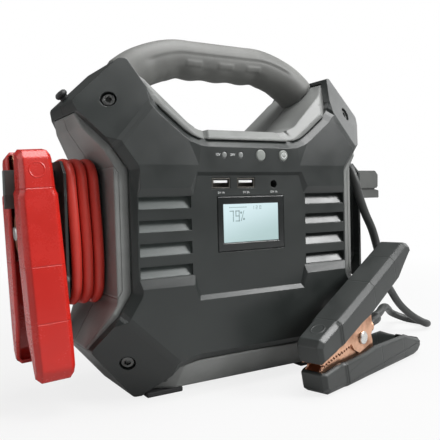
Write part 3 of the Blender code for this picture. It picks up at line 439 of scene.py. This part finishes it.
def slabs(name, outlines, front, depth):
    """Several slabs joined in one piece."""
    points, faces, count = [], [], 0
    for outline in outlines:
        p, f = slab(outline, front, depth)
        points.append(p)
        faces += [[i + count for i in face] for face in f]
        count += len(p)
    return piece(name, np.vstack(points), faces, smooth=False)


BARS = {"7": "abc", "9": "abcdfg", "1": "bc", "2": "abged", "0": "abcdef"}


def box(x0, z0, x1, z1):
    """Outline of a rectangle between two corners."""
    return [(x0, z0), (x1, z0), (x1, z1), (x0, z1)]


def figure(char, x, z, width, height, thick):
    """Outlines of one seven-bar figure with its lower left corner at x, z; each bar is drawn in by s."""
    w, h, t, half = width, height, thick, height / 2
    spot = {"a": (0, h - t, w, h), "d": (0, 0, w, t), "g": (0, half - t / 2, w, half + t / 2),
            "f": (0, half, t, h), "e": (0, 0, t, half), "b": (w - t, half, w, h), "c": (w - t, 0, w, half)}
    s = 0.08 * t
    return [box(x + x0 + s, z + z0 + s, x + x1 - s, z + z1 - s)
            for x0, z0, x1, z1 in (spot[b] for b in BARS[char])]


def disc(x, z, r, n=14):
    """Outline of a small round mark."""
    a = np.linspace(0, 2 * math.pi, n, endpoint=False)
    return np.stack([x + r * np.cos(a), z + r * np.sin(a)], -1)


LARGE, SMALL = (3.4, 7.6, 0.8), (1.5, 2.4, 0.35)       # width, height and bar thickness of the figures
window_figures = figure("7", -17.9, 112.8, *LARGE) + figure("9", -13.2, 112.8, *LARGE)
window_figures += [[(-9.0, 113.0), (-8.4, 113.0), (-6.0, 120.2), (-6.6, 120.2)], disc(-8.6, 118.8, 0.8),
                   disc(-6.4, 114.4, 0.8)]
for k, char in enumerate("120"):
    window_figures += figure(char, 0.5 + 3.0 * k, 120.8, *SMALL)
for k in range(9):
    window_figures.append(box(-18.0 + 1.6 * k, 122.2, -16.9 + 1.6 * k, 122.8))
lcd_figures = slabs("lcd_figures", window_figures, -46.08, 0.06)

# %% [markdown]
# The power sign: a ring open at the top and a bar standing in the gap.

# %% Power sign
POWER = (26.5, 157.8)


def open_ring(x, z, r, thick, gap, n=28):
    """Outline of a ring with a gap at its top: out along the outer arc and back along the inner one."""
    a = np.linspace(math.pi / 2 + gap, math.pi / 2 + 2 * math.pi - gap, n)
    outer = np.stack([x + r * np.cos(a), z + r * np.sin(a)], -1)
    inner = np.stack([x + (r - thick) * np.cos(a[::-1]), z + (r - thick) * np.sin(a[::-1])], -1)
    return np.vstack([outer, inner])


sign = [open_ring(*POWER, 2.1, 0.5, 0.55), box(26.25, 157.7, 26.75, 160.2)]
power_sign = slabs("power_sign", sign, -48.98, 0.07)

# %% [markdown]
# The two signal lamps are low domes that stand just proud of the cover.

# %% Lamp domes
LAMPS = ((-21.8, 157.8), (-8.9, 157.8))
DOME = ((1.95, -46.8), (1.95, -47.9), (1.8, -48.03), (1.0, -48.1), (0.4, -48.12))


def dome(name, x, z):
    """Rings of DOME's radii and depths about the lamp's middle, shut at both ends."""
    a = np.linspace(0, 2 * math.pi, 24, endpoint=False)
    rings = [np.stack([x + r * np.cos(a), 0 * a + y, z + r * np.sin(a)], -1) for r, y in DOME]
    return surface(name, np.array(rings))


lamp_domes = [dome(f"lamp_dome_{k + 1}", *spot) for k, spot in enumerate(LAMPS)]

# %% [markdown]
# The panel's voltages are text turned to a mesh, laid on the panel and given a little thickness.

# %% Panel voltages


def printed(name, words, x, z, height, front):
    """Text of a height standing on the panel, its middle at x, z, as a mesh with its place in its points."""
    font = bpy.data.curves.new(name, "FONT")
    font.body, font.size, font.extrude = words, height * 1.4 * MM, 0.03 * MM
    font.align_x, font.align_y = "CENTER", "CENTER"
    holder = bpy.data.objects.new(name + "_text", font)
    bpy.context.scene.collection.objects.link(holder)
    bpy.context.view_layer.update()
    mesh = bpy.data.meshes.new_from_object(holder.evaluated_get(bpy.context.evaluated_depsgraph_get()))
    bpy.data.objects.remove(holder, do_unlink=True)
    mesh.transform(Matrix.Translation((x * MM, front * MM, z * MM)) @ Matrix.Rotation(math.pi / 2, 4, "X"))
    made = bpy.data.objects.new(name, mesh)
    bpy.context.scene.collection.objects.link(made)
    return made


FACE, PANEL_DEPTH = 48.0, 2.0
ON_FACE, ON_PANEL = -FACE - 0.02, -FACE + PANEL_DEPTH - 0.02
captions = [printed("caption_12v", "12V", -26.9, 157.9, 1.7, ON_FACE),
            printed("caption_24v", "24V", -15.4, 157.9, 1.7, ON_FACE),
            printed("caption_usb_1", "5V 1A", -23.9, 132.6, 1.5, ON_PANEL),
            printed("caption_usb_2", "5V 2A", -4.0, 132.6, 1.5, ON_PANEL),
            printed("caption_inlet", "15V 1A", 19.1, 132.6, 1.5, ON_PANEL)]

# %% [markdown]
# Finishes. A material is a small sum over the surface: grain and mottling from noise, worn edges, dust. The
# class below wraps one output of a shader node, so that such a sum can be written as an expression.

# %% Sums on shader sockets


class Wire:
    """One output of a node. Plus, minus, times, divide and power on wires and numbers add Math nodes."""

    def __init__(self, finish, socket):
        self.finish, self.socket = finish, socket

    def _sum(self, operation, a, b):
        return self.finish.add("ShaderNodeMath", {"operation": operation}, {0: a, 1: b})

    def __add__(self, other):
        return self._sum("ADD", self, other)

    def __sub__(self, other):
        return self._sum("SUBTRACT", self, other)

    def __rsub__(self, other):
        return self._sum("SUBTRACT", other, self)

    def __mul__(self, other):
        return self._sum("MULTIPLY", self, other)

    def __truediv__(self, other):
        return self._sum("DIVIDE", self, other)

    def __pow__(self, other):
        return self._sum("POWER", self, other)

    __radd__, __rmul__ = __add__, __mul__


class Finish:
    """A material under construction. add() is the one way in which nodes are made."""

    def __init__(self, name):
        self.material = bpy.data.materials.new(name)
        self.material.use_nodes = True
        self.tree = self.material.node_tree
        self.shader = self.tree.nodes["Principled BSDF"]

    def add(self, kind, settings=None, inputs=None, output=0):
        """A node of a kind, its settings set first, then its sockets given values or wires."""
        made = self.tree.nodes.new(kind)
        for key, value in (settings or {}).items():
            setattr(made, key, value)
        for key, value in (inputs or {}).items():
            self.feed(made.inputs[key], value)
        return Wire(self, made.outputs[output])

    def feed(self, socket, value):
        """Link a wire to a socket, or write a value on it."""
        if isinstance(value, Wire):
            self.tree.links.new(value.socket, socket)
        else:
            colour = socket.type == "RGBA" and len(value) == 3
            socket.default_value = (*value, 1) if colour else value

    def set(self, **values):
        """Sockets of the Principled shader, with _ for the space in their names."""
        for key, value in values.items():
            self.feed(self.shader.inputs[key.replace("_", " ")], value)
        return self

    def place(self):
        """Object coordinates, in metres."""
        return self.add("ShaderNodeTexCoord", output="Object")

    def noise(self, scale, detail=2.0, rough=0.5, stretch=None):
        """Noise from 0 to 1; scale is in features per metre; stretch scales the axes first."""
        where = self.place()
        if stretch:
            where = self.add("ShaderNodeMapping", None, {"Vector": where, "Scale": stretch})
        return self.add("ShaderNodeTexNoise", None,
                        {"Vector": where, "Scale": scale, "Detail": detail, "Roughness": rough})

    def blend(self, share, a, b):
        """Colour a where the share is 0, b where it is 1."""
        return self.add("ShaderNodeMix", {"data_type": "RGBA"}, {0: share, 6: a, 7: b}, output=2)

    def between(self, value, low, high, out_low=0.0, out_high=1.0):
        """Value moved from the range low to high to the range out_low to out_high, clamped, eased."""
        return self.add("ShaderNodeMapRange", {"interpolation_type": "SMOOTHSTEP"},
                        {"Value": value, "From Min": low, "From Max": high, "To Min": out_low,
                         "To Max": out_high})

    def maths(self, operation, *terms):
        """A Math node whose operation has no Python sign: MAXIMUM, MINIMUM, ABSOLUTE or COMPARE."""
        return self.add("ShaderNodeMath", {"operation": operation}, dict(enumerate(terms)))

    def axes(self):
        """X without its sign, Y and Z of the place, in millimetres."""
        parts = self.add("ShaderNodeSeparateXYZ", None, {0: self.place()}).socket.node
        x, y, z = (Wire(self, out) * 1000.0 for out in parts.outputs)
        return self.maths("ABSOLUTE", x), y, z

    def relief(self, height, depth, rounding=None):
        """Normal from a height field of a depth in metres, over edges rounded by a radius in metres."""
        inputs = {"Height": height, "Distance": depth, "Strength": 1.0}
        if rounding:
            inputs["Normal"] = self.add("ShaderNodeBevel", {"samples": 4}, {"Radius": rounding})
        self.set(Normal=self.add("ShaderNodeBump", None, inputs))
        return self


# %% [markdown]
# Moulded plastic is the pack's main finish: one colour that drifts a little, a fine eroded grain that breaks
# up the highlight, and edges rounded by the mould. The same recipe with other numbers gives the covers, the
# frame, the grip and the clamps.

# %% Moulded plastic


def moulded(name, colour, rough, grain=1900.0, depth=0.00004, drift=0.10, rounding=0.0006, dust=0.05,
             form=None, pale=None):
    """Base colour times 1 plus or minus the drift, with a share of pale dust where the broad noise is high. A
    form is a rule that takes the finish and gives a height in millimetres to add to the grain's. A pale rule
    gives the share of a colour four times as light, which is a painted highlight and not a paler plastic."""
    finish = Finish(name)
    broad, fine = finish.noise(38.0, 3.0), finish.noise(grain, 2.0, 0.6)
    dark = tuple(c * (1 - drift) for c in colour)
    light = tuple(min(1.0, c * (1 + drift)) for c in colour)
    base = finish.blend(finish.between(broad, 0.35, 0.65), dark, light)
    speck = finish.between(finish.noise(520.0, 4.0, 0.7), 0.58, 0.75) * dust
    base = finish.blend(speck, base, tuple(min(1.0, c * 1.6 + 0.03) for c in colour))
    # The pale share is a painted highlight: a lighter copy of the colour that stands in for light.
    if pale:
        base = finish.blend(pale(finish), base, tuple(c * 4.0 for c in colour))
    finish.set(Base_Color=base,
               Roughness=finish.between(broad + fine * 0.4, 0.4, 1.0, rough - 0.05, rough + 0.06))
    if form:
        return finish.relief(fine * depth + form(finish) * MM, 1.0, rounding).material
    return finish.relief(fine, depth, rounding).material


# Two points of each ridge in X and Z, and the slope of the facet behind it.
RIDGES = (((70.9, 192.5), (94.2, 165.5), 0.65), ((92.8, 54.6), (56.8, 19.9), 0.66))
BAND_WIDTH, BAND_SLOPE = 2.7, 0.3
CREASE_X, CREASE_Z, CREASE_SLOPE = 41.2, 151.0, 0.075
CREASE_LEAN, CREASE_SPREAD = 0.13, 0.577


def cover_form(finish):
    """Height of the small bands beside each corner facet, where a gentle slope starts BAND_WIDTH before the
    ridge and meets the facet's slope 2.3 behind it. Beside the middle of the top two slanting triangles
    start at CREASE_X, CREASE_Z and spread as they rise."""
    x, _, z = finish.axes()
    total = 0.0
    for (xa, za), (xb, zb), slope in RIDGES:
        run = math.hypot(xb - xa, zb - za)
        ox, oz = -(zb - za) / run, (xb - xa) / run
        if ox < 0:
            ox, oz = -ox, -oz
        d = x * ox + z * oz - (ox * xa + oz * za)
        facet = finish.maths("MAXIMUM", d * slope, 0.0)
        total = total - (finish.maths("MAXIMUM", facet, (d + BAND_WIDTH) * BAND_SLOPE) - facet)
    rise = finish.maths("MAXIMUM", z - CREASE_Z, 0.0)
    share = (x - CREASE_X + rise * CREASE_LEAN) / (rise * CREASE_SPREAD + 0.01)
    across = finish.maths("MINIMUM", finish.maths("MAXIMUM", share, 0.0), 1.0)
    return total - rise * across * CREASE_SLOPE


LOUVRES = ((65.0, 18.6), (42.8, 2.4), (105.4, 25.7))    # middle and half size in the width, depth and height
RIGHT_SHARE = 0.12


def louvre_painted_light(finish):
    """Share of the painted highlight on the louvre floors, a box in the width, the depth and the height:
    light caught by the sloped floors, painted into the colour. On the right it has only RIGHT_SHARE of its
    strength, since the photograph shows it pale on the left alone."""
    x, y, z = finish.axes()
    signed_x = finish.add("ShaderNodeSeparateXYZ", None, {0: finish.place()})
    total = finish.between(signed_x, -0.01, 0.01, 1.0, RIGHT_SHARE)
    for wire, (middle, half) in zip((x, finish.maths("ABSOLUTE", y), z), LOUVRES):
        total = total * finish.maths("COMPARE", wire, middle, half)
    return total


# The charcoal carries a painted highlight on the louvre floors, full on the left and weak on the right.
charcoal = moulded("charcoal_moulding", (0.021, 0.0245, 0.0235), 0.33, form=cover_form, drift=0.06,
                   pale=louvre_painted_light)
WAIST = ((114.8, 185.0), (87.7, 148.0), (87.7, 71.0), (112.0, 35.0))
FRAME_STEPS = ((5.3, 5.9, 0.7, 0.0), (5.9, 6.6, 0.0, 0.4), (13.6, 14.4, 0.8, 0.0))


def frame_form(finish):
    """Height of the frame outside the covers' waist: a step down at 5.9 with a narrow groove at its foot, and
    a step down at 14. Each of FRAME_STEPS has a start, an end and the heights at both. The way outside is the
    least of the distances from the waist's three straight lines."""
    x, _, z = finish.axes()
    outside = 1000.0
    for (xa, za), (xb, zb) in zip(WAIST, WAIST[1:]):
        run = math.hypot(xb - xa, zb - za)
        nx, nz = (za - zb) / run, (xb - xa) / run
        outside = finish.maths("MINIMUM", x * nx + z * nz - (nx * xa + nz * za), outside)
    return sum(finish.between(outside, *step) for step in FRAME_STEPS)


frame_grey = moulded("frame_moulding", (0.2, 0.206, 0.2), 0.36, rounding=0.0025, form=frame_form)
tongue_grey = moulded("tongue_moulding", (0.08, 0.083, 0.079), 0.45)
grip_rubber = moulded("grip_rubber", (0.135, 0.137, 0.13), 0.55, grain=2600.0, depth=0.00005, rounding=None)
SEAMS, RING, RING_R = (-27.5, 19.5, 53.5), (-38.5, 4.6), 0.35


def clamp_form(place):
    """Rule for the seams across a clamp's levers and the plain ring near the jaws, in the clamp's drawing."""
    local = place.inverted()

    def form(finish):
        x, y = (finish.add("ShaderNodeVectorMath", {"operation": "DOT_PRODUCT"},
                           {0: finish.place(), 1: tuple(local[k][:3])}, output="Value") * 1000.0 + local[k][3]
                for k in (0, 1))
        near = lambda wire, half: finish.between(finish.maths("ABSOLUTE", wire), 0.0, half, 1.0, 0.0)
        total = 0.0
        for seam in SEAMS:
            total = total - near(x - seam, 0.45) * 0.22
        away = ((x - RING[0]) ** 2.0 + y ** 2.0) ** 0.5
        return total + near(away - RING[1], RING_R + 0.35) * 0.15

    return form


red_plastic = moulded("red_clamp_moulding", (0.52, 0.018, 0.012), 0.26, grain=900.0, depth=0.00001,
                      drift=0.05, rounding=0.0022, dust=0.0, form=clamp_form(red_place))
black_plastic = moulded("black_clamp_moulding", (0.022, 0.025, 0.024), 0.36, grain=1500.0, depth=0.00002,
                        rounding=0.0016, form=clamp_form(black_place))
button_grey = moulded("button_moulding", (0.23, 0.245, 0.23), 0.5, rounding=0.0004)
socket_black = moulded("socket_moulding", (0.016, 0.017, 0.018), 0.5, rounding=0.0003)
foot_rubber = moulded("foot_rubber", (0.02, 0.02, 0.021), 0.8)
gloss_black = moulded("window_surround", (0.018, 0.02, 0.02), 0.16, grain=300.0, depth=0.000002,
                      rounding=0.0005, dust=0.0)

# %% [markdown]
# The cable sheaths are softer than the clamps: a satin skin with long faint draw marks. The marks follow the
# cable in the real thing; a broad noise with little detail passes for them at this size.

# %% Cable sheath


def sheath(name, colour, rough):
    """Sheath colour with a faint drift, and ripples that vary its roughness and normal."""
    finish = Finish(name)
    broad, ripple = finish.noise(60.0, 2.0), finish.noise(420.0, 3.0, 0.6)
    dark, light = tuple(c * 0.86 for c in colour), tuple(min(1, c * 1.1) for c in colour)
    finish.set(Base_Color=finish.blend(broad, dark, light),
               Roughness=finish.between(ripple, 0.3, 0.7, rough, rough + 0.12))
    return finish.relief(ripple, 0.00006).material


red_sheath = sheath("red_sheath", (0.62, 0.045, 0.03), 0.36)
black_sheath = sheath("black_sheath", (0.03, 0.032, 0.031), 0.4)

# %% [markdown]
# Metals. The copper jaws are stamped from sheet, so fine drawn lines cross them and the colour turns darker
# and browner where handling has dulled it. Screws are dark zinc, pins and springs bright tinned steel.

# %% Metals


def metal(name, colour, dull, rough):
    """Metallic colour blended towards a dull one by noise, with drawn lines as its relief."""
    finish = Finish(name)
    lines, patch = finish.noise(160.0, 4.0, 0.65, (1, 1, 14)), finish.noise(70.0, 3.0)
    finish.set(Base_Color=finish.blend(finish.between(patch, 0.4, 0.68), colour, dull), Metallic=1.0,
               Roughness=finish.between(lines, 0.2, 0.8, rough - 0.07, rough + 0.12))
    return finish.relief(lines, 0.00005, 0.0004).material


copper = metal("stamped_copper", (0.78, 0.46, 0.31), (0.4, 0.2, 0.12), 0.34)
dark_zinc = metal("dark_zinc", (0.16, 0.165, 0.16), (0.08, 0.08, 0.08), 0.36)
tinned = metal("tinned_steel", (0.72, 0.72, 0.7), (0.5, 0.5, 0.49), 0.28)
bar_copper = metal("bar_copper", (0.8, 0.48, 0.32), (0.55, 0.3, 0.2), 0.4)

# %% [markdown]
# A socket is dull steel outside with a pale plastic tongue inside. Both are one solid, so the tongue's box in
# object coordinates picks where the plastic is.

# %% Sockets, lamps, window
USB = ((-23.9, 139.0), (-4.0, 139.0))


def socket_finish(name, x, z):
    """Steel, turned to pale plastic inside the tongue's box: the product of a band in X and a band in Z."""
    finish = Finish(name)
    sep = finish.add("ShaderNodeSeparateXYZ", None, {0: finish.place()}).socket.node
    near = lambda axis, middle, half: finish.maths("COMPARE", Wire(finish, sep.outputs[axis]), middle * MM,
                                                    half * MM)
    inside = near(0, x, 5.5) * near(2, z + 1.1, 0.95)
    finish.set(Base_Color=finish.blend(inside, (0.2, 0.19, 0.17), (0.86, 0.87, 0.86)), Metallic=1 - inside,
               Roughness=0.3 + inside * 0.2)
    return finish.relief(finish.noise(700.0), 0.00001, 0.0002).material


def lit_window():
    """Pale blue light, brighter at the top left and duller towards the lower right, from a slanted ramp."""
    finish = Finish("lit_window")
    sep = finish.add("ShaderNodeSeparateXYZ", None, {0: finish.place()}).socket.node
    slant = Wire(finish, sep.outputs[2]) * 1.0 - Wire(finish, sep.outputs[0]) * 0.25
    glow = finish.between(slant + finish.noise(90.0) * 0.002, 0.096, 0.128)
    tint = finish.blend(glow, (0.42, 0.58, 0.58), (0.72, 0.89, 0.93))
    finish.set(Base_Color=(0.05, 0.06, 0.06), Roughness=0.08, Emission_Color=tint, Emission_Strength=0.9)
    return finish.relief(finish.noise(300.0), 0.000001, 0.0002).material


def lamp_lens():
    """Frosted lens, its grey drifting with a fine noise."""
    finish = Finish("lamp_lens")
    frost = finish.noise(1400.0, 3.0)
    finish.set(Base_Color=finish.blend(frost, (0.15, 0.16, 0.155), (0.24, 0.25, 0.245)), Roughness=0.3)
    return finish.relief(frost, 0.00002, 0.0003).material


def ink(name, colour):
    """Printing ink or a liquid-crystal bar with a faintly broken edge."""
    finish = Finish(name)
    broken = finish.noise(1500.0, 3.0)
    finish.set(Base_Color=finish.blend(broken, tuple(c * 0.92 for c in colour), colour), Roughness=0.5)
    return finish.relief(broken, 0.000005).material


def board():
    """Green solder mask with pale metal pads, one in the middle of each square cell."""
    finish = Finish("solder_mask")
    cells = finish.add("ShaderNodeTexVoronoi", {"distance": "CHEBYCHEV"},
                       {"Vector": finish.place(), "Scale": 260.0})
    pads = finish.between(cells, 0.24, 0.3, 1.0, 0.0)
    finish.set(Base_Color=finish.blend(pads, (0.012, 0.14, 0.05), (0.6, 0.6, 0.55)), Metallic=pads * 0.8,
               Roughness=0.35)
    return finish.relief(pads, 0.00005).material


window_light, lens_grey = lit_window(), lamp_lens()
white_ink, bar_ink = ink("white_ink", (0.78, 0.8, 0.79)), ink("window_bars", (0.26, 0.36, 0.37))
green_board = board()
cell_wrap = moulded("cell_wrap", (0.05, 0.11, 0.28), 0.35, grain=400.0, depth=0.00002)

# %% [markdown]
# Each solid keeps its shape and takes the finish that the real part has.

# %% Finishes on the solids
wear = {charcoal: "front_cover rear_cover cable_bracket_left cable_bracket_right",
        frame_grey: "frame_front frame_rear", tongue_grey: "parking_tongue_left parking_tongue_right",
        grip_rubber: "handle_grip", foot_rubber: "foot_left foot_right cable_outlet",
        dark_zinc: " ".join(n for n in nodes if n.startswith("screw_")),
        tinned: "handle_core red_pin black_pin red_spring black_spring",
        gloss_black: "lcd_bezel", window_light: "lcd_glass", lens_grey: "led_1 led_2",
        button_grey: "button_override button_power",
        socket_black: "strap_stud_front strap_stud_rear dc_socket lcd_module switch_override switch_power "
                      "cell_tray relay",
        green_board: "control_board main_board", cell_wrap: "cell_block_left cell_block_right",
        bar_copper: "busbar_positive busbar_negative red_lug black_lug",
        copper: "red_jaw_a red_jaw_b black_jaw_a black_jaw_b", red_plastic: "red_lever_a red_lever_b",
        black_plastic: "black_lever_a black_lever_b"}
for finish, names in wear.items():
    for name in names.split():
        nodes[name].data.materials.clear()
        nodes[name].data.materials.append(finish)
for k, (x, z) in enumerate(USB):
    nodes[f"usb_socket_{k + 1}"].data.materials.clear()
    nodes[f"usb_socket_{k + 1}"].data.materials.append(socket_finish(f"usb_finish_{k + 1}", x, z))

# %% [markdown]
# Last, each new piece gets its finish, the body it rides on and the solid it stands for.

# %% Pieces on their bodies


def fit(made, finish, body, stands_for=()):
    """Finish, body and the solids that a new piece stands for."""
    made.data.materials.clear()
    made.data.materials.append(finish)
    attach(made, body)
    if stands_for:
        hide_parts(*stands_for)


fit(red_cable, red_sheath, "pack", ["red_winding", "red_lead"])
fit(black_cable, black_sheath, "pack", ["black_cable"])
fit(sleeve, foot_rubber, "pack", ["cable_outlet"])
fit(grip, grip_rubber, "pack", ["handle_grip"])
fit(front_skin, charcoal, "pack", ["front_cover"])
fit(rear_skin, charcoal, "pack", ["rear_cover"])
for node, made in clamp_skins.items():
    hue, part, half = node.split("_")
    body = hue + "_upper_half" if half == "a" else "pack"
    if part == "jaw":
        fit(made, copper, body, [node])
    elif hue == "red":
        fit(made, red_plastic, body, [node])
    else:
        fit(made, black_plastic, body, [node])
fit(lcd_figures, bar_ink, "pack")
fit(power_sign, white_ink, "power_button")
for k, made in enumerate(lamp_domes):
    fit(made, lens_grey, "pack", [f"led_{k + 1}"])
fit(tongue_skin, tongue_grey, "pack", ["parking_tongue_left"])
for made in captions:
    fit(made, white_ink, "pack")


# %% [markdown]
# The studio: a white floor, a broad lamp above, the key lamp at the front right, a weak one in front, one at
# the left rear for the rim of the frame, one at the right rear for the corner facets, and a faint light from
# the room. The floor shows white to the camera away from the pack and keeps the pack's shadow close to it.

# %% Floor, room and lamps


def floor_material():
    """Diffuse grey mixed with plain white light for the camera, and a tenth of it for reflections. The
    white's share grows from the pack outwards, so that the horizon is not seen."""
    finish = Finish("studio_floor")
    rays = finish.add("ShaderNodeLightPath").socket.node
    seen = Wire(finish, rays.outputs["Is Camera Ray"]) + Wire(finish, rays.outputs["Is Glossy Ray"]) * 0.1
    far = finish.add("ShaderNodeVectorMath", {"operation": "LENGTH"}, {0: finish.place()}, output="Value")
    share = seen * finish.between(far, 0.2, 0.9, 0.82, 1.0)
    white = finish.add("ShaderNodeEmission", None, {"Color": (1.0, 1.0, 1.0), "Strength": 1.0})
    finish.set(Base_Color=(0.45, 0.45, 0.45), Roughness=0.6)
    mix = finish.add("ShaderNodeMixShader", None, {0: share, 2: white})
    finish.tree.links.new(finish.shader.outputs[0], mix.socket.node.inputs[1])
    finish.tree.links.new(mix.socket, finish.tree.nodes["Material Output"].inputs[0])
    return finish.material


REACH, FLOOR_Z = 6000.0, -0.2
floor_grid = np.array([[(-REACH, y, FLOOR_Z), (REACH, y, FLOOR_Z)] for y in (-REACH, REACH)])
floor = surface("studio_floor", floor_grid, joined=False, shut=False)
floor.data.materials.append(floor_material())

room = bpy.data.worlds.new("room")
bpy.context.scene.world = room
room.use_nodes = True
sky = room.node_tree
back = sky.nodes["Background"]
rays = sky.nodes.new("ShaderNodeLightPath")
white = sky.nodes.new("ShaderNodeBackground")
white.inputs["Color"].default_value = (1, 1, 1, 1)
back.inputs["Color"].default_value = (1, 1, 1, 1)
back.inputs["Strength"].default_value = 0.09
mixed = sky.nodes.new("ShaderNodeMixShader")
sky.links.new(rays.outputs["Is Camera Ray"], mixed.inputs[0])
sky.links.new(back.outputs[0], mixed.inputs[1])
sky.links.new(white.outputs[0], mixed.inputs[2])
sky.links.new(mixed.outputs[0], sky.nodes["World Output"].inputs[0])


def lamp(name, place, target, size, power):
    """Square area lamp at a place, aimed at a target."""
    light = bpy.data.lights.new(name, "AREA")
    light.size, light.energy = size, power
    holder = bpy.data.objects.new(name, light)
    bpy.context.scene.collection.objects.link(holder)
    aim = (Vector(target) - Vector(place)).to_track_quat("-Z", "Y")
    holder.matrix_world = Matrix.Translation(place) @ aim.to_matrix().to_4x4()


lamp("top_light", (0.15, -0.15, 1.2), (0, 0, 0.1), 0.8, 17.0)
lamp("right_light", (1.1, -1.0, 1.0), (0, 0, 0.12), 0.6, 27.0)
lamp("back_right_light", (1.35, 0.32, 0.6), (0, 0, 0.14), 0.8, 3.2)
lamp("front_light", (0.1, -1.6, 0.9), (0, 0, 0.12), 0.8, 3.0)
lamp("left_light", (-1.4, 0.35, 0.35), (0, 0, 0.12), 1.3, 10.0)
bpy.context.scene.view_settings.view_transform = "Standard"
